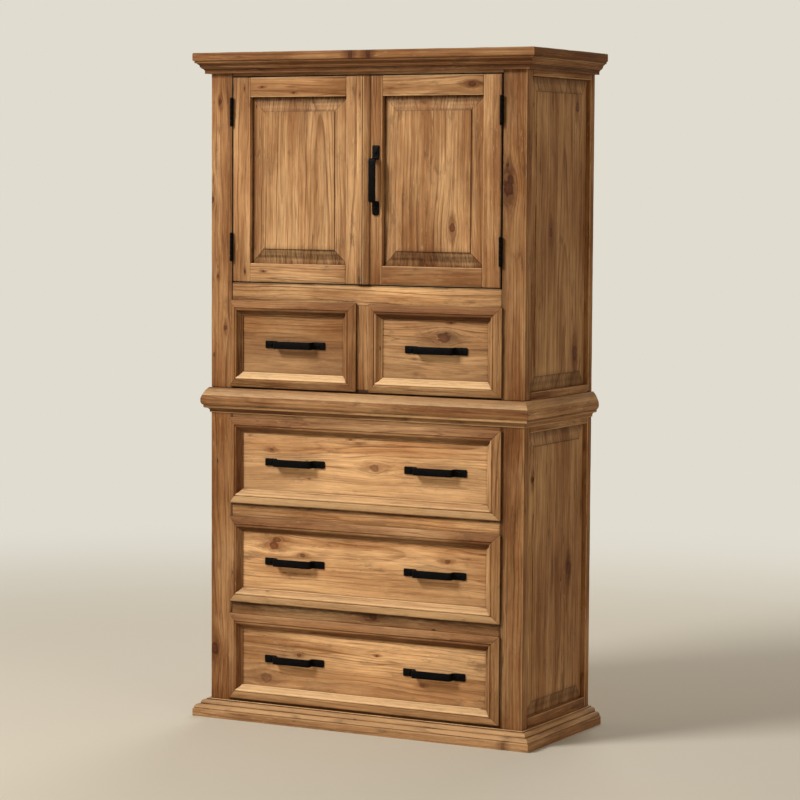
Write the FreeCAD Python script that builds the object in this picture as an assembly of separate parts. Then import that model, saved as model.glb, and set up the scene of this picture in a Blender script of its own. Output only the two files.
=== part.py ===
import FreeCAD, Part
import os

# A two-part pine cabinet: a cupboard with two raised-panel doors above two small
# drawers, standing on a wider chest of three wide drawers.
# All lengths are in millimetres. X runs to the right, Y runs to the back and Z runs up.
# The origin lies on the floor, at the middle of the cabinet's whole footprint.

# Overall carcass
body_width = 944.0
body_depth = 415.0

# Heights of what is stacked, from the floor up
plinth_board_thickness = 22.0
lower_bottom_rail_height = 37.5
wide_opening_height = 224.0
low_rail_height = 41.0
high_rail_height = 45.0
lower_top_rail_height = 35.5
waist_board_thickness = 47.0
upper_bottom_rail_height = 10.0
small_opening_height = 224.0
middle_rail_height = 52.0
door_opening_height = 551.0
upper_top_rail_height = 41.0
top_board_thickness = 22.0

# Mouldings that run round the front and both sides
crown_overhang = 37.0
crown_moulding_reach = 33.0
crown_moulding_height = 33.0
waist_overhang = 21.5
waist_moulding_reach = 15.5
waist_moulding_height = 21.0
plinth_overhang = 37.0
plinth_moulding_reach = 34.0
plinth_moulding_height = 26.0
board_edge_round = 4.0

# Posts, frames and rails
post_width = 67.5
post_depth = 34.0
post_round = 4.0
side_frame_thickness = 26.0
rear_stile_width = 24.0
side_top_rail_height = 48.0
side_foot_rail_height = 20.0
lower_side_top_rail_height = 37.0
lower_side_foot_rail_height = 52.0
divider_width = 47.0
divider_tenon_length = 5.0

# Joinery, measured back from the face of the frame
tenon_length = 14.0
tenon_recess = 5.0
tenon_thickness = 7.0
tenon_height_share = 0.6
tongue_recess = 14.0
tongue_thickness = 5.0
tongue_length = 7.5
groove_slack = 0.5
joint_fit = 0.1

# Raised panels
panel_bevel = 39.0
panel_field_recess = 6.0
panel_field_step = 2.5

# Doors
door_gap = 2.5
meeting_gap = 2.0
door_proud = 2.0
door_thickness = 22.0
door_stile_width = 53.0
door_top_rail_height = 53.0
door_foot_rail_height = 50.0
bead_width = 40.0
bead_height = 9.0

# Butt hinges
hinge_height = 73.0
hinge_knuckles = 5
hinge_barrel_radius = 4.75
hinge_pin_radius = 2.2
hinge_pin_fit = 0.05
hinge_knuckle_gap = 0.3
hinge_barrel_gap = 0.45
hinge_leaf_thickness = 1.1
hinge_leaf_depth = 18.0
hinge_head_height = 2.0
hinge_inset = 56.0

# Drawers
front_thickness = 22.0
front_gap = 2.0
front_proud = 1.0
lip_overlap = 4.5
moulding_width = 40.0
moulding_height = 16.0
box_side_thickness = 12.0
box_bottom_thickness = 8.0
box_bottom_rise = 8.0
box_side_gap = 2.0
box_headroom = 30.0
box_back_gap = 20.0
housing_depth = 7.0
box_groove_depth = 5.0
runner_gap = 0.3
runner_thickness = 14.0
runner_reach = 20.0
guide_thickness = 16.0
guide_height = 20.0

# Iron pulls
pull_length = 183.0
pull_foot_length = 38.0
pull_width = 20.0
pull_thickness = 4.0
pull_stand_off = 25.0
pull_end_round = 6.0
pull_bend_round = 2.5
screw_head_radius = 4.0
screw_head_height = 1.6
screw_radius = 1.8
screw_length = 14.0
screw_fit = 0.1
left_pull_shift = 8.0
right_pull_shift = 4.0

# Inside the carcass
back_board_thickness = 10.0
back_board_inset = 2.0
back_board_count = 5
cupboard_floor_thickness = 18.0
shelf_thickness = 18.0
shelf_rise = 260.0
shelf_setback = 30.0
cleat_size = 16.0

# Outlines of the mouldings. Each row is a point, or an arc's middle and end, as shares
# of the moulding's reach from the carcass and of its height.
crown_shares = [(0, 0), (0.38, 0), (0.38, 0.1), (0.43, 0.32, 0.6, 0.42), (0.6, 0.5),
                (0.68, 0.5), (0.72, 0.68, 0.86, 0.78), (0.86, 0.84), (1, 0.84), (1, 1), (0, 1)]
waist_shares = [(0, 0), (0.18, 0), (0.18, 0.12), (0.26, 0.4, 0.62, 0.58), (0.8, 0.58),
                (1, 0.66), (1, 1), (0, 1)]
waist_edge_shares = [(0, 0), (0.79, 0), (0.95, 0.1, 1, 0.25), (0.97, 0.4, 0.84, 0.56),
                     (0.62, 0.76, 0.22, 1), (0, 1)]
plinth_shares = [(0, 0), (1, 0), (1, 0.1), (0.92, 0.3, 0.66, 0.42), (0.6, 0.42), (0.6, 0.52),
                 (0.5, 0.78, 0.3, 0.86), (0.24, 0.86), (0.24, 1), (0, 1)]
# The drawer moulding rises from its outer edge to a small bead and falls to the field.
drawer_moulding_shares = [(0, 0), (0, 0.42), (0.25, 0.74, 0.49, 0.9), (0.52, 0.8), (0.55, 0.93),
                          (0.61, 1, 0.67, 0.93), (0.75, 0.58, 0.94, 0.2), (1, 0.2), (1, 0)]
# Half of the bead over the meeting line, from its centre outwards.
bead_shares = [(0, 0), (0, 0.88), (0.06, 1), (0.45, 0.97, 0.8, 0.72), (0.95, 0.42, 1, 0)]

# Places worked out from the sizes above
half = body_width / 2
front_overhang = max(crown_overhang, plinth_overhang)
front = (front_overhang - body_depth) / 2
back = front + body_depth
opening_half = half - post_width
side_inner = half - side_frame_thickness
stile_front = back - rear_stile_width
boards_back = back - back_board_inset
boards_front = boards_back - back_board_thickness
rails_back = front + post_depth

lower_floor = plinth_board_thickness
drawer_3_low = lower_floor + lower_bottom_rail_height
drawer_3_high = drawer_3_low + wide_opening_height
drawer_2_low = drawer_3_high + low_rail_height
drawer_2_high = drawer_2_low + wide_opening_height
drawer_1_low = drawer_2_high + high_rail_height
drawer_1_high = drawer_1_low + wide_opening_height
waist_low = drawer_1_high + lower_top_rail_height
waist_high = waist_low + waist_board_thickness
small_low = waist_high + upper_bottom_rail_height
small_high = small_low + small_opening_height
door_low = small_high + middle_rail_height
door_high = door_low + door_opening_height
case_high = door_high + upper_top_rail_height
total_height = case_high + top_board_thickness

door_face = front - door_proud
hinge_y = door_face - hinge_barrel_gap - hinge_barrel_radius
divider_half = divider_width / 2
small_drawer_middle = (opening_half + divider_half) / 2
left_pull_place = left_pull_shift - small_drawer_middle
right_pull_place = right_pull_shift + small_drawer_middle


def at(x, y, z):
    return FreeCAD.Vector(x, y, z)


def block(x0, x1, y0, y1, z0, z1):
    return Part.makeBox(x1 - x0, y1 - y0, z1 - z0, at(x0, y0, z0))


def grown(limits, fit):
    x0, x1, y0, y1, z0, z1 = limits
    return block(x0 - fit, x1 + fit, y0 - fit, y1 + fit, z0 - fit, z1 + fit)


def joined(shapes):
    return shapes[0].fuse(shapes[1:]).removeSplitter()


def save(name, solids):
    shape = solids[0] if len(solids) == 1 else Part.makeCompound(solids)
    shape.exportStep("parts/" + name + ".step")


def polygon(points):
    return Part.Face(Part.makePolygon(points + points[:1]))


def outline(shares, width, height, place):
    """A closed face. Each row is a point, or an arc's middle and end, in shares."""
    first = place(shares[0][0] * width, shares[0][1] * height)
    here = first
    edges = []
    for row in shares[1:]:
        there = place(row[-2] * width, row[-1] * height)
        if len(row) == 2:
            edges.append(Part.LineSegment(here, there).toShape())
        else:
            middle = place(row[0] * width, row[1] * height)
            edges.append(Part.Arc(here, middle, there).toShape())
        here = there
    edges.append(Part.LineSegment(here, first).toShape())
    return Part.Face(Part.Wire(edges))


def rounded_edges(solid, radius, wanted):
    edges = [edge for edge in solid.Edges if wanted(edge)]
    return solid.makeFillet(radius, edges)


def side_block(side, d0, d1, y0, y1, z0, z1):
    """A block placed by its depth inwards from the carcass's left or right face."""
    x0, x1 = sorted((side * (half - d0), side * (half - d1)))
    return block(x0, x1, y0, y1, z0, z1)


def tenon_span(low, high):
    """The part of a rail's height that its tenon keeps, centred."""
    middle = (low + high) / 2
    reach = (high - low) * tenon_height_share / 2
    return middle - reach, middle + reach


def case_moulding(shares, reach, low, height):
    """Front strip and two returns, mitred at the front corners and square at the back."""
    def front_place(a, b):
        return at(-half - reach, front - a, low + b)

    strip = outline(shares, reach, height, front_place).extrude(at(2 * (half + reach), 0, 0))
    corners = [at(-half, front, low), at(half, front, low),
               at(half + reach, front - reach, low), at(-half - reach, front - reach, low)]
    strips = [strip.common(polygon(corners).extrude(at(0, 0, height)))]
    for side in (-1, 1):
        def side_place(a, b):
            return at(side * (half + a), front - reach, low + b)

        strip = outline(shares, reach, height, side_place).extrude(at(0, back - front + reach, 0))
        corners = [at(side * half, front, low), at(side * (half + reach), front - reach, low),
                   at(side * (half + reach), back, low), at(side * half, back, low)]
        strips.append(strip.common(polygon(corners).extrude(at(0, 0, height))))
    return strips


def case_board(overhang, low, thickness):
    return block(-half - overhang, half + overhang, front - overhang, back, low, low + thickness)


def front_or_side_edge(overhang, level):
    """Picks a board's front and side edges at one level, for rounding."""
    def wanted(edge):
        box = edge.BoundBox
        if box.ZMin < level - joint_fit or box.ZMax > level + joint_fit:
            return False
        along_back = box.YMin > back - joint_fit
        return not along_back
    return wanted


def raised_panel(u0, u1, v0, v1, place):
    """A panel in an opening u0 to u1 by v0 to v1; place takes u, v and the depth."""
    def ring(inset, depth):
        corners = [place(u0 + inset, v0 + inset, depth), place(u1 - inset, v0 + inset, depth),
                   place(u1 - inset, v1 - inset, depth), place(u0 + inset, v1 - inset, depth)]
        return Part.makePolygon(corners + corners[:1])

    tongue_back = tongue_recess + tongue_thickness
    step_depth = panel_field_recess + panel_field_step
    layers = [(ring(-tongue_length, tongue_back), ring(-tongue_length, tongue_recess)),
              (ring(0, tongue_recess), ring(panel_bevel, step_depth)),
              (ring(panel_bevel, step_depth), ring(panel_bevel, panel_field_recess))]
    return joined([Part.makeLoft([low, high], True, True) for low, high in layers])


def front_rail(low, high):
    """A rail between the posts, and the limits of its two tenons."""
    tenon_low, tenon_high = tenon_span(low, high)
    y0 = front + tenon_recess
    y1 = y0 + tenon_thickness
    tenons = [(-opening_half - tenon_length, -opening_half, y0, y1, tenon_low, tenon_high),
              (opening_half, opening_half + tenon_length, y0, y1, tenon_low, tenon_high)]
    rail = block(-opening_half, opening_half, front, rails_back, low, high)
    return joined([rail] + [block(*tenon) for tenon in tenons]), tenons


def side_assembly(side, low, high, foot_height, top_height, front_tenons):
    """The corner post, the side frame's stile and rails, and the raised panel."""
    post = side_block(side, 0, post_width, front, rails_back, low, high)

    def front_corner(edge):
        box = edge.BoundBox
        upright = box.ZLength > post_width
        outer = abs(box.Center.x - side * half) < joint_fit
        return upright and outer and abs(box.Center.y - front) < joint_fit

    post = rounded_edges(post, post_round, front_corner)
    stile = side_block(side, 0, side_frame_thickness, stile_front, back, low, high)
    pocket_reach = tongue_length + groove_slack
    tongue_back = tongue_recess + tongue_thickness
    tenon_back = tenon_recess + tenon_thickness
    pocket = side_block(side, tongue_recess - joint_fit, tongue_back + joint_fit,
                        rails_back - pocket_reach, stile_front + pocket_reach,
                        low + foot_height - pocket_reach, high - top_height + pocket_reach)
    rails = []
    for z0, z1 in ((low, low + foot_height), (high - top_height, high)):
        tenon_low, tenon_high = tenon_span(z0, z1)
        rail = side_block(side, 0, side_frame_thickness, rails_back, stile_front, z0, z1)
        y0 = rails_back - tenon_length
        y1 = stile_front + tenon_length
        tenon = side_block(side, tenon_recess, tenon_back, y0, y1, tenon_low, tenon_high)
        mortise = side_block(side, tenon_recess - joint_fit, tenon_back + joint_fit,
                             y0 - joint_fit, y1 + joint_fit, tenon_low - joint_fit, tenon_high + joint_fit)
        post = post.cut(mortise)
        stile = stile.cut(mortise)
        rails.append(joined([rail, tenon]).cut(pocket))
    for tenon in front_tenons:
        post = post.cut(grown(tenon, joint_fit))

    def place(u, v, depth):
        return at(side * (half - depth), u, v)

    panel = raised_panel(rails_back, stile_front, low + foot_height, high - top_height, place)
    return post.cut(pocket), [stile.cut(pocket)] + rails, panel


def back_boards(low, high):
    width = 2 * side_inner / back_board_count
    starts = [-side_inner + i * width for i in range(back_board_count)]
    return [block(x, x + width, boards_front, boards_back, low, high) for x in starts]


def screw(centre, along):
    """A round-headed screw standing on a surface, and the hole that it needs."""
    head = Part.makeCylinder(screw_head_radius, screw_head_height, centre, along)
    start = centre - along * screw_length
    shank = Part.makeCylinder(screw_radius, screw_length, start, along)
    hole_start = start - along * screw_fit
    hole = Part.makeCylinder(screw_radius + screw_fit, screw_length + screw_fit, hole_start, along)
    return joined([head, shank]), hole


def pull(centre, along, across, out):
    """A bent strap with two feet, its screws, and the holes for them in the wood."""
    def place(u, w):
        return centre + along * u - across * (pull_width / 2) + out * w

    end = pull_length / 2
    leg = end - pull_foot_length
    inner = leg - pull_thickness
    points = [(-end, 0), (-end, pull_thickness), (-leg, pull_thickness), (-leg, pull_stand_off),
              (leg, pull_stand_off), (leg, pull_thickness), (end, pull_thickness), (end, 0),
              (inner, 0), (inner, pull_stand_off - pull_thickness),
              (-inner, pull_stand_off - pull_thickness), (-inner, 0)]
    strap = polygon([place(u, w) for u, w in points]).extrude(across * pull_width)

    def foot_corner(edge):
        middle = edge.CenterOfMass - centre
        at_end = abs(abs(middle.dot(along)) - end) < joint_fit
        return at_end and abs(abs(middle.dot(across)) - pull_width / 2) < joint_fit

    def outer_bend(edge):
        middle = edge.CenterOfMass - centre
        at_leg = abs(abs(middle.dot(along)) - leg) < joint_fit
        return at_leg and abs(middle.dot(out) - pull_stand_off) < joint_fit

    strap = rounded_edges(strap, pull_end_round, foot_corner)
    strap = rounded_edges(strap, pull_bend_round, outer_bend)
    screws = []
    holes = []
    for way in (-1, 1):
        seat = centre + along * (way * (leg + pull_foot_length / 2)) + out * pull_thickness
        solid, hole = screw(seat, out)
        strap = strap.cut(hole)
        screws.append(solid)
        holes.append(hole)
    return [strap] + screws, holes


def frame_moulding(x0, x1, z0, z1, base):
    """Four mitred strips round a drawer front, standing on the plane y = base."""
    m = moulding_width
    length = max(x1 - x0, z1 - z0)
    runs = [(lambda a, b: at(x0, base - b, z0 + a), at(length, 0, 0),
             [at(x0, base, z0), at(x1, base, z0), at(x1 - m, base, z0 + m), at(x0 + m, base, z0 + m)]),
            (lambda a, b: at(x0, base - b, z1 - a), at(length, 0, 0),
             [at(x0, base, z1), at(x1, base, z1), at(x1 - m, base, z1 - m), at(x0 + m, base, z1 - m)]),
            (lambda a, b: at(x0 + a, base - b, z0), at(0, 0, length),
             [at(x0, base, z0), at(x0 + m, base, z0 + m), at(x0 + m, base, z1 - m), at(x0, base, z1)]),
            (lambda a, b: at(x1 - a, base - b, z0), at(0, 0, length),
             [at(x1, base, z0), at(x1 - m, base, z0 + m), at(x1 - m, base, z1 - m), at(x1, base, z1)])]
    strips = []
    for place, run, corners in runs:
        strip = outline(drawer_moulding_shares, m, moulding_height, place).extrude(run)
        strips.append(strip.common(polygon(corners).extrude(at(0, -moulding_height, 0))))
    return strips


def drawer(name, x0, x1, z0, z1, pull_places):
    """A drawer for the opening x0 to x1 by z0 to z1."""
    face = front - front_proud
    slab_back = face + front_thickness
    slab = block(x0 + front_gap, x1 - front_gap, face, slab_back, z0 + front_gap, z1 - front_gap)
    low = z0 + runner_gap
    high = z1 - box_headroom
    rear = boards_front - box_back_gap
    bottom_low = low + box_bottom_rise
    bottom_high = bottom_low + box_bottom_thickness
    left = x0 + box_side_gap
    right = x1 - box_side_gap
    left_inner = left + box_side_thickness
    right_inner = right - box_side_thickness
    bottom = (left_inner - box_groove_depth, right_inner + box_groove_depth,
              slab_back - box_groove_depth, rear, bottom_low, bottom_high)
    groove = grown(bottom, joint_fit)
    sides = []
    for a, b in ((left, left_inner), (right_inner, right)):
        limits = (a, b, slab_back - housing_depth, rear, low, high)
        slab = slab.cut(grown(limits, joint_fit))
        sides.append(block(*limits).cut(groove))
    box_back = block(left_inner, right_inner, rear - box_side_thickness, rear, bottom_high, high)
    pulls = []
    for x in pull_places:
        solids, holes = pull(at(x, face, (z0 + z1) / 2), at(1, 0, 0), at(0, 0, 1), at(0, -1, 0))
        pulls += solids
        for hole in holes:
            slab = slab.cut(hole)
    lip = lip_overlap
    save(name + "_front", [slab.cut(groove)])
    save(name + "_moulding", frame_moulding(x0 - lip, x1 + lip, z0 - lip, z1 + lip, face))
    save(name + "_box", sides + [box_back, block(*bottom)])
    save(name + ("_pull" if len(pull_places) == 1 else "_pulls"), pulls)


def hinge(side, low):
    """One butt hinge: the leaf on the post, the leaf on the door, and the pin."""
    axis = at(side * (opening_half - door_gap / 2), hinge_y, low)
    up = at(0, 0, 1)
    knuckle = hinge_height / hinge_knuckles
    plate_front = hinge_y + hinge_barrel_radius + hinge_knuckle_gap
    plate_back = front + hinge_leaf_depth
    hole = Part.makeCylinder(hinge_pin_radius + hinge_pin_fit, hinge_height, axis, up)
    leaves = []
    for first, d0 in ((0, post_width), (1, post_width + door_gap - hinge_leaf_thickness)):
        d1 = d0 + hinge_leaf_thickness
        pieces = [side_block(side, d0, d1, plate_front, plate_back, low, low + hinge_height)]
        for i in range(first, hinge_knuckles, 2):
            z0 = low + i * knuckle + hinge_knuckle_gap / 2
            z1 = z0 + knuckle - hinge_knuckle_gap
            barrel = Part.makeCylinder(hinge_barrel_radius, z1 - z0, at(axis.x, axis.y, z0), up)
            pieces += [side_block(side, d0, d1, hinge_y, plate_back, z0, z1), barrel]
        leaves.append(joined(pieces).cut(hole))
    head = hinge_barrel_radius - hinge_knuckle_gap
    pin = [Part.makeCylinder(hinge_pin_radius, hinge_height, axis, up),
           Part.makeCylinder(head, hinge_head_height, at(axis.x, axis.y, low - hinge_head_height), up),
           Part.makeCylinder(head, hinge_head_height, at(axis.x, axis.y, low + hinge_height), up)]
    return leaves[0], leaves[1], joined(pin)


def door(side, name, pull_wanted):
    """A framed door: two stiles, two rails, a raised panel and half of the bead."""
    outer = opening_half - door_gap
    inner = meeting_gap / 2
    low = door_low + door_gap
    high = door_high - door_gap
    x0, x1 = sorted((side * outer, side * inner))
    door_back = door_face + door_thickness
    p0 = x0 + door_stile_width
    p1 = x1 - door_stile_width
    q0 = low + door_foot_rail_height
    q1 = high - door_top_rail_height
    reach = tongue_length + groove_slack
    tongue_front = door_face + tongue_recess
    pocket = block(p0 - reach, p1 + reach, tongue_front - joint_fit,
                   tongue_front + tongue_thickness + joint_fit, q0 - reach, q1 + reach)
    stiles = [block(x0, p0, door_face, door_back, low, high),
              block(p1, x1, door_face, door_back, low, high)]
    rails = []
    for z0, z1 in ((low, q0), (q1, high)):
        tenon_low, tenon_high = tenon_span(z0, z1)
        tenon = (p0 - tenon_length, p1 + tenon_length, door_face + tenon_recess,
                 door_face + tenon_recess + tenon_thickness, tenon_low, tenon_high)
        stiles = [stile.cut(grown(tenon, joint_fit)) for stile in stiles]
        rails.append(joined([block(p0, p1, door_face, door_back, z0, z1), block(*tenon)]).cut(pocket))
    stiles = [stile.cut(pocket) for stile in stiles]
    if pull_wanted:
        x = side * (bead_width / 2 + inner + door_stile_width) / 2
        solids, holes = pull(at(x, door_face, (low + high) / 2), at(0, 0, 1), at(1, 0, 0), at(0, -1, 0))
        for hole in holes:
            stiles = [stile.cut(hole) for stile in stiles]
        save(name + "_pull", solids)

    def panel_place(u, v, depth):
        return at(u, door_face + depth, v)

    def bead_place(a, b):
        return at(side * (inner + a), door_face - b, low)

    bead = outline(bead_shares, bead_width / 2 - inner, bead_height, bead_place)
    save(name + "_frame", stiles + rails)
    save(name + "_panel", [raised_panel(p0, p1, q0, q1, panel_place)])
    save(name + "_bead", [bead.extrude(at(0, 0, high - low))])


def runner(x0, x1, guide_x0, guide_x1, level, thickness):
    """A strip under a drawer's side, with the guide that keeps the drawer straight."""
    base = block(x0, x1, rails_back, boards_front, level - thickness, level)
    guide = block(guide_x0, guide_x1, rails_back, boards_front, level, level + guide_height)
    return joined([base, guide])


def runner_pair(level, thickness):
    edge = opening_half
    return [runner(-side_inner, runner_reach - edge, -edge - guide_thickness, -edge, level, thickness),
            runner(edge - runner_reach, side_inner, edge, edge + guide_thickness, level, thickness)]


def build_upper_case():
    levels = [("upper_bottom_rail", waist_high, small_low), ("upper_middle_rail", small_high, door_low),
              ("upper_top_rail", door_high, case_high)]
    rails = {}
    tenons = []
    for name, low, high in levels:
        rails[name], ends = front_rail(low, high)
        tenons += ends
    y0 = front + tenon_recess
    divider = block(-divider_half, divider_half, front, rails_back, small_low, small_high)
    reach = divider_half * tenon_height_share
    tenon = (-reach, reach, y0, y0 + tenon_thickness,
             small_low - divider_tenon_length, small_high + divider_tenon_length)
    for name in rails:
        save(name, [rails[name].cut(grown(tenon, joint_fit))])
    save("small_drawer_divider", [joined([divider, block(*tenon)])])
    for side, word in ((-1, "left"), (1, "right")):
        post, frame, panel = side_assembly(side, waist_high, case_high, side_foot_rail_height,
                                           side_top_rail_height, tenons)
        save("upper_" + word + "_post", [post])
        save("upper_" + word + "_side_frame", frame)
        save("upper_" + word + "_side_panel", [panel])


def build_lower_case():
    levels = [(lower_floor, drawer_3_low), (drawer_3_high, drawer_2_low),
              (drawer_2_high, drawer_1_low), (drawer_1_high, waist_low)]
    tenons = []
    rails = []
    for low, high in levels:
        rail, ends = front_rail(low, high)
        tenons += ends
        rails.append(rail)
    save("lower_bottom_rail", rails[:1])
    save("drawer_rails", rails[1:3])
    save("lower_top_rail", rails[3:])
    for side, word in ((-1, "left"), (1, "right")):
        post, frame, panel = side_assembly(side, lower_floor, waist_low, lower_side_foot_rail_height,
                                           lower_side_top_rail_height, tenons)
        save("lower_" + word + "_post", [post])
        save("lower_" + word + "_side_frame", frame)
        save("lower_" + word + "_side_panel", [panel])


def build_boards_and_mouldings():
    top = case_board(crown_overhang, case_high, top_board_thickness)
    top = rounded_edges(top, board_edge_round, front_or_side_edge(crown_overhang, case_high))
    save("top_board", [top])
    save("crown_moulding", case_moulding(crown_shares, crown_moulding_reach,
                                         case_high - crown_moulding_height, crown_moulding_height))
    waist = block(-half, half, front, back, waist_low, waist_high)
    edges = case_moulding(waist_edge_shares, waist_overhang, waist_low, waist_board_thickness)
    save("waist_board", [joined([waist] + edges)])
    save("waist_moulding", case_moulding(waist_shares, waist_moulding_reach,
                                         waist_low - waist_moulding_height, waist_moulding_height))
    plinth = case_board(plinth_overhang, 0, plinth_board_thickness)
    plinth_edge = front_or_side_edge(plinth_overhang, plinth_board_thickness)
    plinth = rounded_edges(plinth, board_edge_round, plinth_edge)
    save("plinth_board", [plinth])
    save("plinth_moulding", case_moulding(plinth_shares, plinth_moulding_reach,
                                          plinth_board_thickness, plinth_moulding_height))


def build_inside():
    floor_low = door_low - cupboard_floor_thickness
    save("cupboard_floor", [block(-side_inner, side_inner, rails_back, boards_front, floor_low, door_low)])
    shelf_low = door_low + shelf_rise
    save("cupboard_shelf", [block(-side_inner, side_inner, rails_back + shelf_setback, boards_front,
                                  shelf_low, shelf_low + shelf_thickness)])
    cleats = []
    for x in (-side_inner, side_inner - cleat_size):
        cleats.append(block(x, x + cleat_size, rails_back, boards_front, shelf_low - cleat_size, shelf_low))
    save("shelf_cleats", cleats)
    centre = runner(-divider_half - runner_reach, divider_half + runner_reach, -divider_half, divider_half,
                    small_low, upper_bottom_rail_height)
    runners = runner_pair(small_low, upper_bottom_rail_height) + [centre]
    for level in (drawer_3_low, drawer_2_low, drawer_1_low):
        runners += runner_pair(level, runner_thickness)
    save("drawer_runners", runners)
    save("back_boards", back_boards(waist_high, case_high) + back_boards(lower_floor, waist_low))


def build_doors():
    post_leaves = []
    pins = []
    for side, name in ((-1, "left_door"), (1, "right_door")):
        door(side, name, side == 1)
        door_leaves = []
        for low in (door_low + door_gap + hinge_inset, door_high - door_gap - hinge_inset - hinge_height):
            post_leaf, door_leaf, pin = hinge(side, low)
            post_leaves.append(post_leaf)
            door_leaves.append(door_leaf)
            pins.append(pin)
        save(name + "_hinge_leaves", door_leaves)
    save("post_hinges", post_leaves + pins)


def build_drawers():
    places = [left_pull_place, right_pull_place]
    drawer("small_left_drawer", -opening_half, -divider_half, small_low, small_high, places[:1])
    drawer("small_right_drawer", divider_half, opening_half, small_low, small_high, places[1:])
    drawer("high_wide_drawer", -opening_half, opening_half, drawer_1_low, drawer_1_high, places)
    drawer("middle_wide_drawer", -opening_half, opening_half, drawer_2_low, drawer_2_high, places)
    drawer("low_wide_drawer", -opening_half, opening_half, drawer_3_low, drawer_3_high, places)


os.makedirs("parts", exist_ok=True)
build_boards_and_mouldings()
build_upper_case()
build_lower_case()
build_inside()
build_doors()
build_drawers()
print("height", total_height, "front", front, "back", back)
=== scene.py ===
# %% [markdown]
# # A rustic pine cabinet
#
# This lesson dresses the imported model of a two-part pine cabinet: a cupboard with two
# raised-panel doors and two small drawers, standing on a chest of three wide drawers.
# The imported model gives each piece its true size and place. Each wooden piece is modelled
# again here with eased, hand-worn edges, because sharp edges catch no light.

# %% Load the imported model
import math
import random

import bmesh
import bpy
import numpy as np
from mathutils import Matrix, Vector


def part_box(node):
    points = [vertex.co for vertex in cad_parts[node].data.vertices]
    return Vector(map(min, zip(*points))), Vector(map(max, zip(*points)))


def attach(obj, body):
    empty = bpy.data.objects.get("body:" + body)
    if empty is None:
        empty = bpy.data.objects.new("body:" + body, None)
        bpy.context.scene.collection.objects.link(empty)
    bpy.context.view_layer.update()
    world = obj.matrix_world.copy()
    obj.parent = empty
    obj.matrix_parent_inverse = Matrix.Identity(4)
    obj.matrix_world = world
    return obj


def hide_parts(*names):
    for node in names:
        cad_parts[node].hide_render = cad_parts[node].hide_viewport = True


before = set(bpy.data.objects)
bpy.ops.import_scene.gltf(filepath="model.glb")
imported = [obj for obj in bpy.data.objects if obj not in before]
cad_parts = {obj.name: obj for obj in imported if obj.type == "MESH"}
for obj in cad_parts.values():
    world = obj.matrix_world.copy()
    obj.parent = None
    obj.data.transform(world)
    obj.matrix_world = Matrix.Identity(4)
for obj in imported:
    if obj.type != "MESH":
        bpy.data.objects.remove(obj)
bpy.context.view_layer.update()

# %% [markdown]
# ## Sizes
#
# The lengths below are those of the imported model, in metres, and are named for what they
# measure. X runs to the right, Y to the back and Z up, and the origin is on the floor.

# %% Carcass sizes
HALF, FRONT, BACK = 0.472, -0.189, 0.226
OPENING_HALF = 0.4045
RAILS_BACK, STILE_FRONT = -0.155, 0.202
SIDE_INNER = 0.446
BOARDS_FRONT, BOARDS_BACK = 0.214, 0.224
LOWER_FLOOR, WAIST_LOW, WAIST_HIGH, CASE_HIGH = 0.022, 0.853, 0.900, 1.778
WIDE_OPENINGS = {"high": (0.5935, 0.8175), "middle": (0.3245, 0.5485), "low": (0.0595, 0.2835)}
SMALL_OPENING = (0.910, 1.134)
DOOR_OPENING = (1.186, 1.737)
DIVIDER_HALF = 0.0235
# A half size so large that the shader sees no edge there.
EVERYTHING = 10.0
print("carcass", 2 * HALF, "wide and", BACK - FRONT, "deep")

# %% [markdown]
# ## The camera
#
# The photograph was taken from the right of the cabinet's middle, a little above the level
# of the doors' centre, with a long lens. The direction is built from the three angles that
# were measured: the turn to the left, the tilt down and a slight roll.

# %% Camera
TURN, TILT, ROLL = math.radians(28.286), math.radians(4.454), math.radians(-0.323)
CAMERA_PLACE, LENS = (3.58716, -6.64959, 1.46043), 126.51
level_ahead = Vector((-math.sin(TURN), math.cos(TURN), 0))
ahead = level_ahead * math.cos(TILT) - Vector((0, 0, math.sin(TILT)))
rightwards = ahead.cross(Vector((0, 0, 1))).normalized()
downwards = ahead.cross(rightwards)
across_view = math.cos(ROLL) * rightwards + math.sin(ROLL) * downwards
down_view = math.cos(ROLL) * downwards - math.sin(ROLL) * rightwards
bpy.ops.object.select_all(action="DESELECT")
bpy.ops.object.camera_add()
camera = bpy.context.object
camera.name = "camera"
camera.data.lens = LENS
camera.data.sensor_width = 36.0
camera.data.clip_end = 100.0
turned = Matrix((across_view, -down_view, -ahead)).transposed().to_4x4()
camera.matrix_world = Matrix.Translation(CAMERA_PLACE) @ turned
bpy.context.scene.camera = camera
print("camera at", tuple(round(v, 3) for v in camera.location))

# %% [markdown]
# ## Shader sums
#
# A material is a tree of small nodes. To write it as sums and products, one small class
# wraps a node's output and turns Python's operators into Math or Vector Math nodes.

# %% A socket that can be added and multiplied
def operator(operation, swapped=False):
    """A method that makes a node out of its own socket and the other value."""
    def method(self, other):
        a, b = (other, self) if swapped else (self, other)
        return self.finish.maths(operation, a, b)
    return method


class Signal:
    """An output socket that takes part in sums and products."""

    def __init__(self, finish, socket):
        self.finish = finish
        self.socket = socket

    @property
    def wide(self):
        return self.socket.type in ("VECTOR", "RGBA")

    __add__, __radd__ = operator("ADD"), operator("ADD", True)
    __sub__, __rsub__ = operator("SUBTRACT"), operator("SUBTRACT", True)
    __mul__, __rmul__ = operator("MULTIPLY"), operator("MULTIPLY", True)
    __truediv__, __pow__ = operator("DIVIDE"), operator("POWER")

    def __neg__(self):
        return self * -1.0


# %% [markdown]
# A finish is one material, or the world's light. Its node method takes the node's type, then
# its settings, then the values or links of its sockets, so every node is made the same way.

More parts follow.
